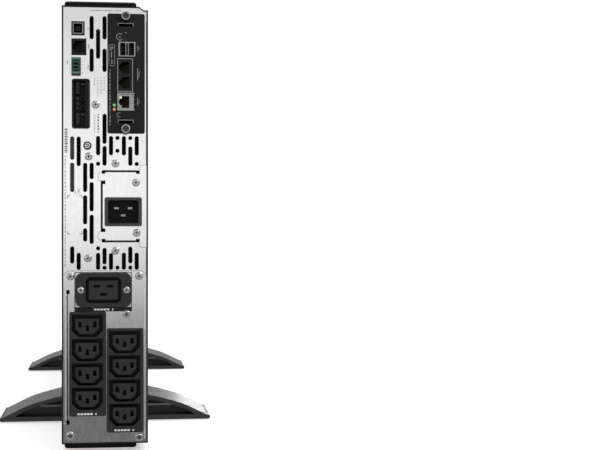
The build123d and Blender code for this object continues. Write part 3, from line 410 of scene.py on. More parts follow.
def rounded(corners, radius, closed=True):
    """An outline with its corners rounded. An open one keeps its two ends."""
    path = []
    count = len(corners)
    for i, corner in enumerate(corners):
        if not closed and i in (0, count - 1):
            path.append(corner)
            continue
        here = Vector(corner)
        before = (Vector(corners[i - 1]) - here).normalized()
        after = (Vector(corners[(i + 1) % count]) - here).normalized()
        cut = radius / math.tan(before.angle(after) / 2)
        start, end = here + before * cut, here + after * cut
        for step in range(CORNER_STEPS + 1):
            t = step / CORNER_STEPS
            place = start * (1 - t) ** 2 + here * 2 * t * (1 - t) + end * t**2
            path.append(tuple(place))
    return path


def arc(x, z, radius, start=0, end=360, steps=28):
    """Points on a circle, from one angle to another in degrees."""
    turn = math.radians(end - start)
    count = steps if end - start == 360 else steps + 1
    angles = [math.radians(start) + turn * i / steps for i in range(count)]
    return [(x + radius * math.cos(a), z + radius * math.sin(a)) for a in angles]


def rectangle(x, z, width, height):
    """Corners of a rectangle round its middle."""
    left, right = x - width / 2, x + width / 2
    low, high = z - height / 2, z + height / 2
    return [(left, low), (right, low), (right, high), (left, high)]


def add_ribbon(built, path, width, y_front, y_back, closed=False):
    """A flat strip of even width that follows a path in X and Z."""
    count = len(path)
    sides = []
    for i in range(count):
        here = Vector(path[i])
        steps = []
        if closed or i > 0:
            steps.append((here - Vector(path[i - 1])).normalized())
        if closed or i < count - 1:
            steps.append((Vector(path[(i + 1) % count]) - here).normalized())
        along = sum(steps, Vector((0, 0))).normalized()
        across = Vector((-along.y, along.x))
        reach = width / 2 / max(0.3, abs(along.dot(steps[0])))
        sides.append((here + across * reach, here - across * reach))
    rings = []
    for left, right in sides:
        corners = ((left, y_front), (right, y_front), (right, y_back), (left, y_back))
        rings.append([built.verts.new(point(place.x, y, place.y)) for place, y in corners])
    for i in range(count if closed else count - 1):
        first, second = rings[i], rings[(i + 1) % count]
        for j in range(4):
            k = (j + 1) % 4
            built.faces.new((first[j], second[j], second[k], first[k]))
    if not closed:
        built.faces.new(rings[0])
        built.faces.new(rings[-1][::-1])


def add_dashes(built, column, y):
    """Column of small dashes from the top down. Every third one has its own height."""
    x, top, pitch, count, width, height, third = column
    for i in range(count):
        add_slab(built, rectangle(x, top - i * pitch, width, height if i % 3 else third), *y)


def add_loop(built, path, width, y_front, y_back):
    """A flat strip of even width round a closed path."""
    add_ribbon(built, path, width, y_front, y_back, True)


def add_cross(built, add_bar, x, z, length, width, near, far):
    """Two crossed bars, made by a function that adds a plate."""
    for size in ((length, width), (width, length)):
        add_bar(built, rectangle(x, z, *size), near, far)


def add_liner(built, corners, wall, y_front, y_back):
    """An open box that lines a mouth: walls just inside its outline, and a floor."""
    add_loop(built, corners, wall, y_front, y_back)
    add_slab(built, corners, y_back - wall, y_back)


def add_object(name, data):
    """An object in the scene."""
    added = bpy.data.objects.new(name, data)
    bpy.context.scene.collection.objects.link(added)
    return added


def add_mesh(name, built, material):
    """An object made of built geometry."""
    mesh = bpy.data.meshes.new(name)
    built.to_mesh(mesh)
    built.free()
    mesh.materials.append(material)
    return add_object(name, mesh)


def finish(name, built, material, body, bevel=0.0):
    """Turns built geometry into a piece that rides on a body."""
    bmesh.ops.recalc_face_normals(built, faces=built.faces)
    piece = add_mesh(name, built, material)
    if bevel:
        soften_edges(piece, bevel)
    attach(piece, body)


def millimetres(node):
    """Lowest and highest corner of a node's box, in millimetres."""
    low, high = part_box(node)
    return low / MM, high / MM


def middle_of(node):
    """X and Z of the middle of a node's box."""
    low, high = millimetres(node)
    return (low.x + high.x) / 2, (low.z + high.z) / 2


# ------ faces that pieces sit on
PANEL_FACE = millimetres("rear_panel")[0].y
BRACKET_FACE = millimetres("inlet_bracket")[0].y
CARD_FACE = millimetres("card_faceplate")[0].y + 1.2
FILM = 0.08  # thickness of paint and printed marks


# ------ network card
LOUVRE_HEIGHTS = (427.6, 331.1)
LOUVRE_X = (12.95, 28.1)
RESET_PLACE = (14.7, 415.6)
DUAL_JACK = (20.0, 377.4, 14.9, 32.7)
JACK_X = 19.4
JACK_HEIGHTS = (385.0, 369.7)
NETWORK_HEIGHT = 350.4
USB_SLOTS = (17.7, 26.3)
USB_HEIGHT = 403.3
STATUS_X = 9.2
JACK_LIGHT_X = 15.6
STATUS_LIGHTS = {"green": (347.4, GREEN_GLOW), "amber": (343.1, AMBER_GLOW)}
JACK_LIGHTS = {"link": (354.9, PALE_GLOW), "traffic": (345.9, LED_OFF)}
WIRE_PITCH = 1.02


def louvre_highlight_strips():
    """Bright metal strips on the edges of the two cable-tie louvres: painted highlight on the black-painted
    bars.
    """
    built = bmesh.new()
    left, right = LOUVRE_X
    for z in LOUVRE_HEIGHTS:
        path = [(left, z - 1.6), (left, z + 1.3), (right, z + 1.3), (right, z - 1.6)]
        add_ribbon(built, path, 0.6, CARD_FACE - 1.4, CARD_FACE)
    finish("louvre_highlight_strips", built, NICKEL_AND_HIGHLIGHT, "card", 0.12)


def mouth_outline(x, z):
    """Outline of a modular jack's mouth, with its stepped latch notch to the left."""
    half = [(x + 4.7, 5.7), (x - 2.7, 5.7), (x - 2.7, 3.1), (x - 4.5, 3.1), (x - 4.5, 1.5), (x - 5.6, 1.5)]
    return [(u, z + v) for u, v in half] + [(u, z - v) for u, v in reversed(half)]


def jack_liners():
    """Black insulators inside the shielded jack and the two upright sockets."""
    built = bmesh.new()
    add_liner(built, mouth_outline(JACK_X, NETWORK_HEIGHT), 0.3, CARD_FACE - 0.7, CARD_FACE + 13.5)
    for x in USB_SLOTS:
        add_liner(built, rectangle(x, USB_HEIGHT, 5.0, 12.1), 0.25, CARD_FACE - 0.4, CARD_FACE + 12.5)
    finish("jack_liners", built, CONNECTOR_AND_SHADE, "card")


def add_sprung_wires(built, wall, middle, face, count):
    """A row of thin wires that lean away from a jack's right wall as they go in."""
    for i in range(count):
        z = middle + (i - (count - 1) / 2) * WIRE_PITCH
        for step in range(4):
            x = wall - step * 0.8
            y = face + step * 2.2
            add_box(built, (x - 0.9, x), (y, y + 2.3), (z - 0.2, z + 0.2))


def jack_contacts():
    """Eight sprung wires in every modular jack of the card, and four strips on every tongue."""
    built = bmesh.new()
    for z in (*JACK_HEIGHTS, NETWORK_HEIGHT):
        add_sprung_wires(built, JACK_X + 4.3, z, CARD_FACE + 2.5, 8)
    for x in USB_SLOTS:
        for i in range(4):
            z = USB_HEIGHT + (i - 1.5) * 2.2
            add_box(built, (x - 0.3, x - 0.1), (CARD_FACE + 3.6, CARD_FACE + 11), (z - 0.5, z + 0.5))
    # dark brass: painted shade on the contacts inside the jacks
    finish("jack_contacts", built, SHADED_BRASS, "card")


def jack_frames():
    """Metal frame round the pair of jacks, and dark marks on the two metal shells painted as the shade in
    their spring slots.
    """
    built = bmesh.new()
    add_loop(built, rectangle(*DUAL_JACK), 0.7, CARD_FACE - 0.8, CARD_FACE - 0.3)
    finish("jack_frame", built, NICKEL_AND_HIGHLIGHT, "card", 0.1)
    built = bmesh.new()
    face = millimetres("usb_a_shell")[0].y
    add_slab(built, rectangle(22.0, USB_HEIGHT, 2.1, 12.0), face - 0.1, face + 0.1)
    face = millimetres("network_jack")[0].y
    for offset in (-4.9, 0.0, 4.9):
        add_slab(built, rectangle(28.9, NETWORK_HEIGHT + offset, 0.8, 3.2), face - 0.1, face + 0.1)
        add_slab(built, rectangle(22.5 + offset, NETWORK_HEIGHT + 7.6, 3.0, 0.7), face - 0.1, face + 0.1)
    finish("shell_slot_shade", built, CONNECTOR_AND_SHADE, "card")


def status_lights():
    """A glowing ring round each status light, and the jack's own pair of lights."""
    for name, (z, glow) in STATUS_LIGHTS.items():
        built = bmesh.new()
        add_loop(built, arc(STATUS_X, z, 1.3, steps=24), 0.7, CARD_FACE - 0.95, CARD_FACE - 0.3)
        finish(name + "_status_ring", built, glow, "card", 0.15)
    for name, (z, glow) in JACK_LIGHTS.items():
        built = bmesh.new()
        outline = rounded(rectangle(JACK_LIGHT_X, z, 2.2, 1.7), 0.4)
        add_slab(built, outline, CARD_FACE - 1.25, CARD_FACE - 0.9)
        finish(name + "_light", built, glow, "card", 0.1)


def card_marks():
    """Plain printed marks on the card's plate: an outlined box, rings and rows of dashes."""
    built = bmesh.new()
    y = (CARD_FACE - FILM, CARD_FACE)
    add_loop(built, rounded(rectangle(6.7, 397.1, 5.7, 21.0), 1.4), 0.35, *y)
    add_ribbon(built, arc(*RESET_PLACE, 3.3, 50, 320, 20), 0.55, *y)
    add_ribbon(built, arc(13.9, 337.7, 2.1, 50, 310, 16), 0.5, *y)
    for x, z, length in ((6.0, 403.8, 4.4), (7.6, 404.6, 2.4), (6.4, 397.6, 5.4), (6.8, 390.8, 4.6)):
        add_slab(built, rectangle(x, z, 0.7, length), *y)
    add_dashes(built, (4.9, 382.0, 3.6, 16, 0.8, 2.8, 1.6), y)
    for z, length in ((404.5, 5.0), (378.5, 12.0), (351.0, 7.5)):
        add_ribbon(built, [(32.6, z - length / 2), (32.6, z + length / 2)], 0.6, *y)
        add_slab(built, rectangle(34.0, z, 0.4, length * 0.5), *y)
    for z in (420.0, 410.5):
        add_slab(built, rectangle(20.6, z, 1.8, 0.5), *y)
    finish("card_marks", built, CARD_PRINT, "card")


def screw_rims():
    """Bright turned edge on the front of each thumbscrew."""
    for name in ("card_screw_upper", "card_screw_lower"):
        face = millimetres(name)[0].y
        built = bmesh.new()
        add_loop(built, arc(*middle_of(name), 3.75, steps=36), 0.8, face - 0.12, face + 0.6)
        finish(name + "_rim", built, BRIGHT_STEEL, name, 0.2)


louvre_highlight_strips()
jack_liners()
jack_contacts()
jack_frames()
status_lights()
card_marks()
screw_rims()


# ------ panel details
INLET_FLANGE = (34.5, 42.2, 205.1, 287.5)  # left, right, low and high edges
INLET_TABS = (216.7, 275.9)
TAB_LEFT = -6.9
TAB_RADIUS = 3.8
OUTLET_PLATE = (-41.0, 41.2, 181.6)  # left, right and top edges
# edges of the painted shadow line round the large outlet's window
WINDOW_SHADOW_EDGES = (-30.0, 26.4, 145.8, 180.2)  # left, right, low and high
LABEL = (-37.2, -22.9, 218.8, 256.7)


def shadow_gaps():
    """Painted contact shadow: a thin dark line where each bracket plate lies on the panel."""
    built = bmesh.new()
    y = (PANEL_FACE - FILM, PANEL_FACE)
    width = 0.4
    edge = width / 2
    left, right, low, high = INLET_FLANGE
    for z, out in ((high, 1), (low, -1)):
        corners = [(right - 1, z + out * edge), (left - edge, z + out * edge), (left - edge, z - out * 4.6)]
        add_ribbon(built, rounded(corners, 3.0, closed=False), width, *y)
    for z in INLET_TABS:
        reach = TAB_RADIUS + 0.7
        end = TAB_LEFT - edge
        corners = [(-4.5, z + reach), (end, z + reach), (end, z - reach), (-4.5, z - reach)]
        add_ribbon(built, rounded(corners, TAB_RADIUS, closed=False)[1:-1], width, *y)
    left, right, top = OUTLET_PLATE
    corners = [(left, top - 9), (left, top + edge), (right - 0.4, top + edge), (right - 0.4, top - 9)]
    add_ribbon(built, rounded(corners, 7.0, closed=False), width, *y)
    finish("shadow_gaps", built, CONTACT_SHADOW_GREY, "root")


def case_edge_shadow():
    """Painted shadow: a black strip in the gap between the panel and the case's edge, down the right side
    and past the bracket.
    """
    built = bmesh.new()
    add_ribbon(built, [(41.95, 10.5), (41.95, 432)], 2.0, PANEL_FACE - 0.1, PANEL_FACE)
    add_ribbon(built, [(42.15, 204.5), (42.15, 288)], 1.65, BRACKET_FACE - 0.1, PANEL_FACE)
    finish("case_edge_shadow", built, RUBBER_AND_SHADE_BLACK, "root")


def window_shadow_line():
    """Painted shadow: a black strip between the large outlet's flange and the edge of the bracket's window.
    """
    built = bmesh.new()
    left, right, low, high = WINDOW_SHADOW_EDGES
    path = [(left, low), (left, high), (right, high), (right, low)]
    add_ribbon(built, path, 0.75, BRACKET_FACE - 0.15, PANEL_FACE)
    finish("window_shadow_line", built, RUBBER_AND_SHADE_BLACK, "root", 0.1)


DASH_COLUMNS = [
    # x, top, pitch, count, width, height, height of every third dash
    *((x, top, 3.0, count, 0.6, 2.3, 1.3) for x, top, count in
      ((-0.9, 375.0, 5), (-4.0, 374.5, 6), (-7.2, 375.0, 7), (-10.6, 374.0, 3))),
    (-38.7, 323.0, 3.5, 7, 3.2, 1.2, 1.2),
    (-38.7, 321.3, 3.5, 7, 2.4, 1.0, 1.0),
    (-6.8, 338.0, 2.9, 7, 1.5, 2.0, 1.2),
    (-10.3, 337.0, 2.7, 7, 0.6, 1.9, 1.9),
    (-35.2, 391.4, 3.8, 4, 0.8, 0.5, 0.5),
    (-22.6, 391.4, 3.8, 4, 1.0, 0.5, 0.5),
    (-26.3, 263.7, 1.4, 4, 1.9, 0.6, 0.6),
    (-29.7, 261.4, 1.4, 3, 1.5, 0.5, 0.5),
]
FAINT_COLUMN = (-39.6, 296.0, 3.75, 30, 0.9, 2.9, 1.5)
PORT_LINES = [(-16.9, 423.8, 3.0), (-16.4, 405.6, 4.6), (-16.9, 385.4, 4.6), (-37.6, 389.5, 3.4)]


def panel_marks():
    """Plain printed marks: corners of a label field and dashes by the ports, with no lettering."""
    built = bmesh.new()
    y = (PANEL_FACE - FILM, PANEL_FACE)
    left, right, low, high = LABEL
    for x, inward in ((left, 2.6), (right, -2.6)):
        for z, up in ((low, 2.8), (high, -2.8)):
            add_ribbon(built, [(x + inward, z), (x, z), (x, z + up)], 0.7, *y)
    for i in range(11):
        add_slab(built, rectangle(-13.8 + i * 2.9, 441.9, 2.2 if i % 4 else 1.2, 0.75), *y)
    for x, z, length in PORT_LINES:
        add_slab(built, rectangle(x, z, 0.7, length), *y)
    for column in DASH_COLUMNS:
        add_dashes(built, column, y)
    finish("panel_marks", built, PANEL_PRINT, "root")
    built = bmesh.new()
    add_dashes(built, FAINT_COLUMN, y)
    finish("faint_marks", built, FAINT_PRINT, "root")


GROUP_MARKS = {
    # node: x and z of the middle of its row of dashes
    "label_strip": (-0.5, 143.3),
    "left_outlet_block": (-17.0, 39.4),
    "right_outlet_block": (20.0, 22.8),
}


def group_marks():
    """A row of pale dashes under the large outlet and at the foot of each outlet block."""
    built = bmesh.new()
    for node, (x, z) in GROUP_MARKS.items():
        face = millimetres(node)[0].y
        for i in range(5):
            add_slab(built, rectangle(x - 9.3 + i * 3.2, z, 2.4, 1.7), face - FILM, face)
        add_slab(built, rectangle(x + 8.1, z, 1.2, 1.7), face - FILM, face)
    finish("group_marks", built, PALE_PRINT, "root")


FOOT_RIB_MIDDLE = 17.5
FOOT_RIB_DEPTH = 7.0


def foot_rib_highlights():
    """Painted highlight: a paler strip on the front edge of the rib across each hollow of the four foot
    halves, where the rib catches the light.
    """
    for node in ("rear_foot_left", "rear_foot_right", "front_foot_left", "front_foot_right"):
        low, high = millimetres(node)
        side = 1 if high.x > -low.x else -1
        built = bmesh.new()
        for y in (low.y + FOOT_RIB_DEPTH - 0.4, high.y - FOOT_RIB_DEPTH):
            path = [(side * 44.5, FOOT_RIB_MIDDLE), (side * 76.0, FOOT_RIB_MIDDLE)]
            add_ribbon(built, path, 2.2, y, y + 0.4)
        finish(node + "_rib_highlight", built, RIB_HIGHLIGHT_PLASTIC, "root")


SHADED_VENT_AREAS = [
    # left, right, low and high edges
    (-36.5, -10.5, 205.0, 318.5),
    (-10.4, -4.6, 262.0, 318.5),
    (-4.5, 36.0, 284.0, 318.4),
    (-36.5, 36.0, 181.9, 204.8),
    (-10.4, 34.0, 204.9, 209.0),
    (-15.6, 1.8, 378.0, 438.0),
    (-3.2, 1.8, 318.5, 342.0),
]


def vent_shade_screens():
    """Black woven sheets behind the vents, hemmed round the edge: painted shade that stands for the dark
    inside of the case.
    """
    for i, (left, right, low, high) in enumerate(SHADED_VENT_AREAS):
        built = bmesh.new()
        middle = ((left + right) / 2, (low + high) / 2)
        width, height = right - left, high - low
        hem = rectangle(*middle, width - 1.0, height - 1.0)
        add_slab(built, rectangle(*middle, width, height), PANEL_FACE + 9.0, PANEL_FACE + 9.4)
        add_loop(built, hem, 1.0, PANEL_FACE + 8.2, PANEL_FACE + 9.8)
        finish(f"vent_shade_screen_{i + 1}", built, SCREEN_AND_VENT_SHADE, "root")


def vent_baffle():
    """Grey baffle close behind the upper left column of vents."""
    built = bmesh.new()
    add_slab(built, rectangle(-32.9, 290.5, 6.0, 57.0), PANEL_FACE + 4.0, PANEL_FACE + 4.8)
    finish("vent_baffle", built, BAFFLE, "root", 0.2)


PAN_SCREWS = {
    # node that the heads sit on: their places
    "rear_panel": [(-9.4, 347.8), (-16.4, 296.1), (10.3, 289.2), (10.3, 201.8), (-17.0, 194.4)],
    "inlet_bracket": [(30.8, 270.1), (31.6, 219.7)],
    "outlet_bracket": [(-34.5, 176.3), (34.0, 176.6), (21.5, 138.4), (-34.4, 17.8), (34.0, 15.4)],
    "large_outlet": [(-23.9, 162.8), (21.6, 162.8)],
}
HEAD_HEIGHT = 2.2


def screw_recess_shade():
    """Painted shade: a dark floor in the cross recess of every pan head, darker than the steel."""
    built = bmesh.new()
    for node, places in PAN_SCREWS.items():
        y = millimetres(node)[0].y - HEAD_HEIGHT + 0.5
        for place in places:
            add_cross(built, add_slab, *place, 3.3, 0.85, y, y + 0.75)
    finish("screw_recess_shade", built, DARK_OXIDE_AND_SHADE, "root")


def folded_edge_highlights():
    """Narrow rolled edges down both sides of the outlet bracket, in paler steel that paints the highlight
    the folds catch.
    """
    built = bmesh.new()
    for x, low, high in ((39.7, 14.0, 164.0), (-38.75, 33.5, 158.5)):
        add_ribbon(built, [(x, low), (x, high)], 0.8, BRACKET_FACE - 0.35, BRACKET_FACE + 0.1)
    finish("folded_edge_highlights", built, PALE_STEEL_AND_EDGE_HIGHLIGHT, "root", 0.3)


def inlet_cavity_shade():
    """Painted shade: darker plastic lining the inner walls and floor of the inlet's cavity."""
    built = bmesh.new()
    front = millimetres("inlet_housing")[0].y
    corners = rounded(rectangle(18.2, 240.8, 30.2, 22.8), 3.4)
    add_liner(built, corners, 0.3, front + 0.5, front + 19.9)
    finish("inlet_cavity_shade", built, CONNECTOR_AND_SHADE, "root")


def terminal_caps():
    """Lighter ends of the pull-off terminal plug, and a clamp screw above each wire mouth."""
    caps, screws = bmesh.new(), bmesh.new()
    low, high = millimetres("epo_plug")
    x, middle = middle_of("epo_plug")
    for z in (low.z + 1.2, high.z - 1.2):
        add_slab(caps, rounded(rectangle(x, z, high.x - low.x, 2.3), 0.4), low.y - 0.3, low.y + 0.4)
    for i in range(4):
        place = (high.x - 1.0, middle + (i - 1.5) * 3.8)
        add_slab(screws, arc(*place, 0.75, steps=16), low.y - 0.12, low.y + 0.4)
    finish("terminal_caps", caps, TERMINAL_LIGHT, "epo_plug", 0.15)
    finish("terminal_screws", screws, DARK_OXIDE_AND_SHADE, "epo_plug", 0.1)


def socket_details():
    """Raised ribs and rings inside the battery socket."""
    built = bmesh.new()
    low, high = millimetres("battery_socket")
    x, z = middle_of("battery_socket")
    for offset, length in ((15.6, 11.0), (-15.5, 10.8)):
        rib = rectangle(x - 3.2, z + offset, 2.6, length)
        add_loop(built, rib, 0.5, PANEL_FACE - 0.6, PANEL_FACE + 0.1)
    for offset in (5.2, 0.5, -4.0):
        ring = arc(x - 3.3, z + offset, 1.5, steps=16)
        add_loop(built, ring, 0.45, PANEL_FACE + 1.5, PANEL_FACE + 8.4)
    for edge in (low.x + 0.9, high.x - 0.9):
        add_box(built, (edge - 0.35, edge + 0.35), (low.y - 0.15, low.y + 0.2), (low.z + 3.5, high.z - 3.5))
    finish("socket_details", built, SOCKET_GREY, "root", 0.12)


def serial_contacts():
    """Ten gilt wires on the right wall of the serial jack."""
    built = bmesh.new()
    x, z = middle_of("serial_jack")
    add_sprung_wires(built, x + 5.2, z, PANEL_FACE + 2.0, 10)
    # dark brass: painted shade on the contacts inside the serial jack
    finish("serial_contacts", built, SHADED_BRASS, "root")


shadow_gaps()
case_edge_shadow()
window_shadow_line()
panel_marks()
group_marks()
foot_rib_highlights()
vent_shade_screens()
vent_baffle()
screw_recess_shade()
folded_edge_highlights()
inlet_cavity_shade()
terminal_caps()
socket_details()
serial_contacts()


# ------ front module
FRONT_FACE = millimetres("front_bezel")[1].y
BEZEL_SHEET = 2.5
DISPLAY_FACE = millimetres("display_housing")[1].y
LENS_LOW, LENS_HIGH = millimetres("display_lens")
PILOT_HEIGHT = 380.2
PILOT_PLACES = {-12: LED_OFF, -4: LED_OFF, 4: AMBER_OFF, 12: GREEN_GLOW}


def bezel_filter():
    """Black dust screen with a hem, held behind the grille."""
    built = bmesh.new()
    back = FRONT_FACE - BEZEL_SHEET
    add_slab(built, rectangle(0, 174.5, 66, 303), back - 0.9, back - 0.5)
    add_loop(built, rectangle(0, 174.5, 65, 302), 1.2, back - 1.4, back - 0.1)
    finish("bezel_filter", built, SCREEN_AND_VENT_SHADE, "bezel")


def display_segments():
    """Lit shapes on the window: two bar graphs in frames, a sine wave and a row of ticks."""
    built = bmesh.new()
    y = (LENS_HIGH.y, LENS_HIGH.y + FILM)
    middle = (LENS_LOW.z + LENS_HIGH.z) / 2
    for side in (-1, 1):
        x = side * 17.5
        add_loop(built, rounded(rectangle(x, middle, 6.4, 21), 1.0), 0.45, *y)
        for i in range(6):
            add_slab(built, rectangle(x, middle - 7.9 + i * 3.1, 4.4, 2.1), *y)
    wave = [(-10 + 0.5 * i, middle + 3 + 4.2 * math.sin(math.radians(18 * i))) for i in range(41)]
    add_ribbon(built, wave, 0.7, *y)
    for i in range(9):
        add_slab(built, rectangle(-8 + 2 * i, middle - 6.5, 0.6, 2.6 if i % 4 == 0 else 1.5), *y)
    add_ribbon(built, [(-10, middle - 9), (10, middle - 9)], 0.4, *y)
    finish("display_segments", built, SEGMENT, "display")


def display_frame():
    """Thin raised rim round the window."""
    built = bmesh.new()
    middle = (LENS_LOW + LENS_HIGH) / 2
    outline = rounded(rectangle(middle.x, middle.z, 47.4, 31.4), 2.4)
    add_loop(built, outline, 0.8, DISPLAY_FACE - 0.2, DISPLAY_FACE + 0.3)
    finish("display_rim", built, BUTTON, "display", 0.12)


def pilot_lights():
    """Four small lights under the window. One is lit."""
    for i, (x, glow) in enumerate(PILOT_PLACES.items()):
        built = bmesh.new()
        add_slab(built, arc(x, PILOT_HEIGHT, 1.1, steps=20), DISPLAY_FACE - 0.2, DISPLAY_FACE + 0.25)
        finish(f"pilot_light_{i + 1}", built, glow, "display", 0.1)


BUTTON_SYMBOLS = {
    # open strokes round the middle of the button, except the two closed arrowheads
    "power_button": [arc(0, 0, 2.5, 120, 420, 20), [(0, 0.6), (0, 3.2)]],
    "up_button": [[(-1.3, -0.8), (0, 1.3), (1.3, -0.8)]],
    "down_button": [[(-1.3, 0.8), (0, -1.3), (1.3, 0.8)]],
    "enter_button": [[(-1.4, 1.3), (-1.4, -0.4), (1.3, -0.4)], [(0.5, 0.5), (1.5, -0.4), (0.5, -1.3)]],
}


def button_marks():
    """A plain symbol on each button."""
    for name, strokes in BUTTON_SYMBOLS.items():
        low, high = millimetres(name)
        middle = (low + high) / 2
        built = bmesh.new()
        for stroke in strokes:
            moved = [(middle.x + x, middle.z + z) for x, z in stroke]
            add_ribbon(built, moved, 0.45, high.y, high.y + FILM, name in ("up_button", "down_button"))
        finish(name + "_mark", built, PALE_PRINT, name)


# ------ wide sides of the case
COVER_SIDE = 43.0
COVER_SCREW_ROWS = {-318: (24, 228, 431), -110: (24, 431), 110: (24, 431), 292: (24, 228, 431)}


def cover_screws():
    """Flush screws round the edge of each wide side, each with a dark cross painted on its head as the
    shade of a recess.
    """
    heads, recess_shade = bmesh.new(), bmesh.new()
    for side in (-1, 1):
        x = side * COVER_SIDE
        for y, heights in COVER_SCREW_ROWS.items():
            for z in heights:
                add_side_slab(heads, arc(y, z, 3.6, steps=28), x + side * 0.35, x - side * 0.3)
                add_cross(recess_shade, add_side_slab, y, z, 3.2, 0.9, x + side * 0.4, x)
    finish("cover_screws", heads, BLACK_SCREW, "root", 0.18)
    finish("cover_screw_recess_shade", recess_shade, RUBBER_AND_SHADE_BLACK, "root")


# ------ battery
CELL_FACE = -31.3  # the cells' faces on the open side of the tray
CELL_LENGTH = 148.0
CELL_START = -2.8
CELL_LOW = 26.2
COLUMN_PITCH = 152.0
ROW_PITCH = 95.0
TERMINAL_INSET = 16.0
TERMINAL_HEIGHT = 12.5


def cell_details():
    """On each cell a plain label with rules and no lettering, a vent strip and two terminal boots,
    turned over from cell to cell so that neighbours can be linked."""
    labels, marks, lids, red, black = (bmesh.new() for part in range(5))
    for i in range(8):
        column, row = divmod(i, 4)
        y, z = CELL_START + COLUMN_PITCH * column, CELL_LOW + ROW_PITCH * row
        middle = y + CELL_LENGTH / 2
        add_side_slab(labels, rounded(rectangle(middle, z + 56, 84, 44), 3), CELL_FACE - 0.15, CELL_FACE)
        for line, length in enumerate((60, 34, 48, 26, 54)):
            rule = rectangle(middle - 36 + length / 2, z + 70 - 7 * line, length, 1.6)
            add_side_slab(marks, rule, CELL_FACE - 0.22, CELL_FACE - 0.1)
        add_side_slab(lids, rectangle(middle, z + 12.5, CELL_LENGTH - 58, 9), CELL_FACE - 0.8, CELL_FACE)
        ends = [y + TERMINAL_INSET, y + CELL_LENGTH - TERMINAL_INSET]
        if row % 2 == 0:
            ends.reverse()
        for built, terminal in zip((red, black), ends):
            boot = rounded(rectangle(terminal, z + TERMINAL_HEIGHT, 11, 8), 2)
            add_side_slab(built, boot, CELL_FACE - 5.2, CELL_FACE)
    finish("cell_labels", labels, LABEL_PAPER, "battery")
    finish("cell_label_rules", marks, PANEL_PRINT, "battery")
    finish("cell_vent_strips", lids, HANDLE, "battery", 0.3)
    finish("cell_boots_red", red, RED_PLASTIC, "battery", 0.8)
    finish("cell_boots_black", black, HANDLE, "battery", 0.8)


def cell_links():
    """Rigid copper bars that join the cells in one chain, up one column and down the other."""
    built = bmesh.new()
    x = (CELL_FACE - 4.4, CELL_FACE - 2.6)
    near, far = TERMINAL_INSET, CELL_LENGTH - TERMINAL_INSET
    for column, ends in enumerate(((near, far, near), (far, near, far))):
        start = CELL_START + COLUMN_PITCH * column
        for row, end in enumerate(ends):
            middle = CELL_LOW + ROW_PITCH * (row + 0.5) + TERMINAL_HEIGHT
            add_side_slab(built, rectangle(start + end, middle, 7, ROW_PITCH + 6), *x)
    top = CELL_LOW + ROW_PITCH * 3 + TERMINAL_HEIGHT
    first, second = CELL_START + far, CELL_START + COLUMN_PITCH + near
    add_side_slab(built, rectangle((first + second) / 2, top, second - first + 6, 7), *x)
    finish("cell_links", built, COPPER, "battery", 0.3)


PLUG_X = 22
MOUTH_HEIGHTS = (82, 98)


def battery_plug():
    """Two-way power plug on the front of the battery tray, with its two contacts on dark plates painted as
    the shade in its mouths, and a plain label.
    """
    face = millimetres("battery_tray")[1].y
    shell, mouth_shade, contacts, label, rules = (bmesh.new() for part in range(5))
    add_slab(shell, rounded(rectangle(PLUG_X, 90, 20, 34), 2), face, face + 12)
    for z in MOUTH_HEIGHTS:
        add_slab(mouth_shade, rounded(rectangle(PLUG_X, z, 12, 9), 1.2), face + 11.9, face + 12.15)
        add_slab(contacts, rectangle(PLUG_X, z, 7.5, 2.2), face + 12.1, face + 12.5)
    add_slab(label, rounded(rectangle(0, 340, 56, 60), 2.5), face, face + 0.15)
    for i, length in enumerate((44, 30, 40, 22, 36, 28)):
        add_slab(rules, rectangle(22 - length / 2, 362 - 8 * i, length, 2), face + 0.1, face + 0.22)
    finish("battery_plug", shell, GREY_PLUG, "battery", 0.8)
    finish("battery_plug_mouth_shade", mouth_shade, RUBBER_AND_SHADE_BLACK, "battery")
    finish("battery_plug_contacts", contacts, BRIGHT_STEEL, "battery", 0.15)
    finish("tray_label", label, LABEL_PAPER, "battery")
    finish("tray_label_rules", rules, PANEL_PRINT, "battery")


# ------ card board
BOARD_BACK = 31.0
BOARD_FRONT = 32.6
PIN_PITCH = 1.6
CHIPS = [
    # Y and Z of the middle, length and height
    (-268, 398, 22, 22),
    (-298, 400, 14, 20),
    (-262, 356, 16, 10),
    (-296, 352, 10, 16),
    (-246, 420, 8, 5),
]


def add_to_board(built, outline, height):
    """A part that stands on the board's component side."""
    add_side_slab(built, outline, BOARD_FRONT, BOARD_FRONT + height)


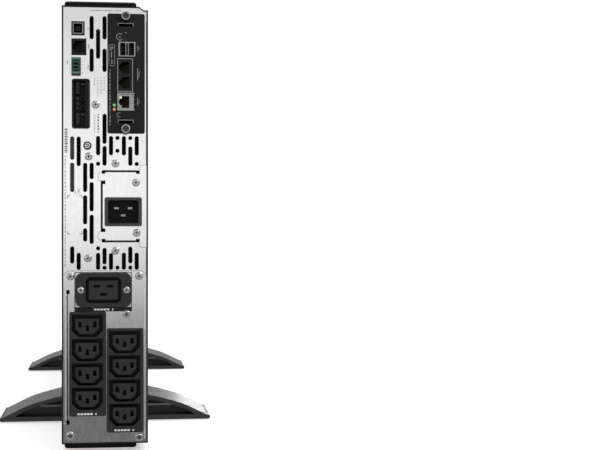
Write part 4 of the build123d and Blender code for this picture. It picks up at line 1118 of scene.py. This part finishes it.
def board_parts():
    """Chips, storage capacitors, small parts and the edge connector on the card's board."""
    chips, pins, cans, small, fingers = (bmesh.new() for part in range(5))
    for y, z, length, height in CHIPS:
        add_to_board(chips, rectangle(y, z, length, height), 1.6)
        for i in range(int(length / PIN_PITCH)):
            leg = y - length / 2 + 1.4 + i * PIN_PITCH
            for end in (-1, 1):
                add_to_board(pins, rectangle(leg, z + end * (height / 2 + 0.8), 0.6, 2.0), 0.4)
    for y, z in ((-246, 340), (-246, 352), (-312, 372)):
        add_to_board(cans, arc(y, z, 4.0, steps=24), 5.5)
    pick = random.Random(7)
    for attempt in range(70):
        y, z = pick.uniform(-320, -236), pick.uniform(332, 426)
        if all(abs(y - cy) > cl / 2 + 3 or abs(z - cz) > ch / 2 + 4 for cy, cz, cl, ch in CHIPS):
            size = (1.8, 0.9) if pick.random() < 0.5 else (0.9, 1.8)
            add_to_board(small, rectangle(y, z, *size), 0.6)
    for i in range(30):
        for x in ((BOARD_BACK - 0.1, BOARD_BACK), (BOARD_FRONT, BOARD_FRONT + 0.1)):
            add_side_slab(fingers, rectangle(-232.5, 335 + i * 3.0, 6.5, 1.8), *x)
    finish("board_chips", chips, CHIP, "card", 0.25)
    finish("board_chip_pins", pins, NICKEL_AND_HIGHLIGHT, "card")
    finish("board_capacitors", cans, ALUMINIUM, "card", 0.5)
    finish("board_small_parts", small, CERAMIC, "card", 0.1)
    finish("board_edge_contacts", fingers, GOLD, "card")


# ------ earth terminal
def earth_rings():
    """Plain turned rings on the head of the earth screw, over a black washer."""
    face = millimetres("earth_screw")[0].y
    rings = {
        # radius, width, how far proud, finish
        "earth_outer_ring": (3.3, 1.5, 0.05, RUBBER_AND_SHADE_BLACK),
        "earth_pale_ring": (2.1, 0.9, 0.12, PALE_STEEL_AND_EDGE_HIGHLIGHT),
        "earth_inner_ring": (1.3, 0.7, 0.14, RUBBER_AND_SHADE_BLACK),
    }
    for name, (radius, width, proud, material) in rings.items():
        built = bmesh.new()
        path = arc(*middle_of("earth_screw"), radius, steps=36)
        add_loop(built, path, width, face - proud, face - proud + 0.6)
        finish(name, built, material, "root", 0.06)


bezel_filter()
display_segments()
display_frame()
pilot_lights()
button_marks()
cover_screws()
cell_details()
cell_links()
battery_plug()
board_parts()
earth_rings()


# ------ floor, light and camera
FLOOR_COLOR = grey(0.85)


def floor():
    """Plain pale floor, left out of mirror reflections so that metal shows the studio instead."""
    material, tree, shader = new_material("pale_floor", FLOOR_COLOR, 0.9)
    glow = vary_color(tree, shader, FLOOR_COLOR, 3, 0.01)
    tree.links.new(glow, shader.inputs["Emission Color"])
    shader.inputs["Emission Strength"].default_value = 0.55
    built = bmesh.new()
    bmesh.ops.create_grid(built, x_segments=1, y_segments=1, size=12.0)
    plane = add_mesh("floor", built, material)
    plane.visible_glossy = False


def band(tree, height, start, end, to_low, to_high):
    """A brightness that changes between two heights above the horizon, given in degrees."""
    low, high = (math.sin(math.radians(degrees)) for degrees in (start, end))
    return remap(tree, height, low, high, to_low, to_high)


def studio_world():
    """Studio walls. In front of the panel, a bright wall that falls off to the sides, with a dark
    band under the horizon and pale ground below it; behind the object a pale wall that darkens
    towards the floor, and grey walls to both sides. The camera sees plain white."""
    world = bpy.data.worlds.new("studio")
    bpy.context.scene.world = world
    world.use_nodes = True
    tree = world.node_tree
    direction = add_node(tree, "TexCoord").outputs["Generated"]
    split = add_node(tree, "SeparateXYZ", vector=direction)
    across, along, height = (split.outputs[axis] for axis in "XYZ")
    aside = math_node(tree, "ABSOLUTE", math_node(tree, "ADD", across, 0.06), 0.0)
    middle = remap(tree, aside, 0.05, 0.5, 1.0, 0.4)
    horizon = band(tree, height, -6, -1.3, 0.115, 1.25)
    ceiling = band(tree, height, 2.5, 14, 1.0, 0.58)
    ground = band(tree, height, -28, -18, 0.6, 0.0)
    front = math_node(tree, "MULTIPLY", math_node(tree, "MULTIPLY", middle, horizon), ceiling)
    front = math_node(tree, "ADD", front, ground)
    back = band(tree, height, -12, -3, 0.1, 0.9)
    depth = remap(tree, along, -0.3, 0.3, 0.0, 1.0)
    room = add_node(tree, "Mix", data_type="FLOAT", factor=depth, a=front, b=back).outputs[0]
    sides = remap(tree, math_node(tree, "ABSOLUTE", across, 0.0), 0.2, 0.5, 0.0, 0.5)
    walls = math_node(tree, "MAXIMUM", room, sides)
    camera_ray = add_node(tree, "LightPath").outputs["Is Camera Ray"]
    seen = add_node(tree, "Mix", data_type="FLOAT", factor=camera_ray, a=walls, b=1.0).outputs[0]
    background = tree.nodes["Background"]
    background.inputs["Color"].default_value = (1, 1, 1, 1)
    tree.links.new(seen, background.inputs["Strength"])


def area_light(name, place, target, size, power):
    """Soft rectangular light that points at a place, with a power in watts."""
    data = bpy.data.lights.new(name, "AREA")
    data.shape = "RECTANGLE"
    data.size, data.size_y = size
    data.energy = power
    light = add_object(name, data)
    light.location = place
    light.rotation_euler = (Vector(target) - Vector(place)).to_track_quat("-Z", "Y").to_euler()
    return light


# Camera, in metres and degrees
CAMERA_HEIGHT = 0.2276
CAMERA_BACK = 0.903
CAMERA_YAW = 4.443
CAMERA_SIDE = 0.005


def photo_camera():
    """Level camera behind the unit, turned a little to one side, with a sideways lens shift."""
    data = bpy.data.cameras.new("camera")
    data.lens = 54
    data.sensor_width = 36
    data.shift_x = 0.2
    camera = add_object("camera", data)
    camera.location = (CAMERA_SIDE, PANEL_FACE * MM - CAMERA_BACK, CAMERA_HEIGHT)
    camera.rotation_euler = (math.radians(90), 0, -math.radians(CAMERA_YAW))
    bpy.context.scene.camera = camera


floor()
studio_world()
area_light("key", (1.1, -1.7, 1.5), (0, -0.33, 0.25), (0.5, 0.6), 16)
area_light("fill", (-1.8, -1.4, 0.9), (0, -0.3, 0.2), (1.2, 1.2), 6)
area_light("top", (0.3, 0.1, 2.4), (0, 0, 0.3), (1.6, 1.6), 22)
edge = area_light("edge", (0.52, 1.7, 0.2), (0.09, -0.16, 0.04), (0.2, 0.16), 2.8)
near_foot = bpy.data.collections.new("near_foot")
near_foot.objects.link(nodes["rear_foot_right"])
edge.light_linking.receiver_collection = near_foot
photo_camera()
bpy.context.scene.view_settings.view_transform = "Standard"

bpy.context.view_layer.update()
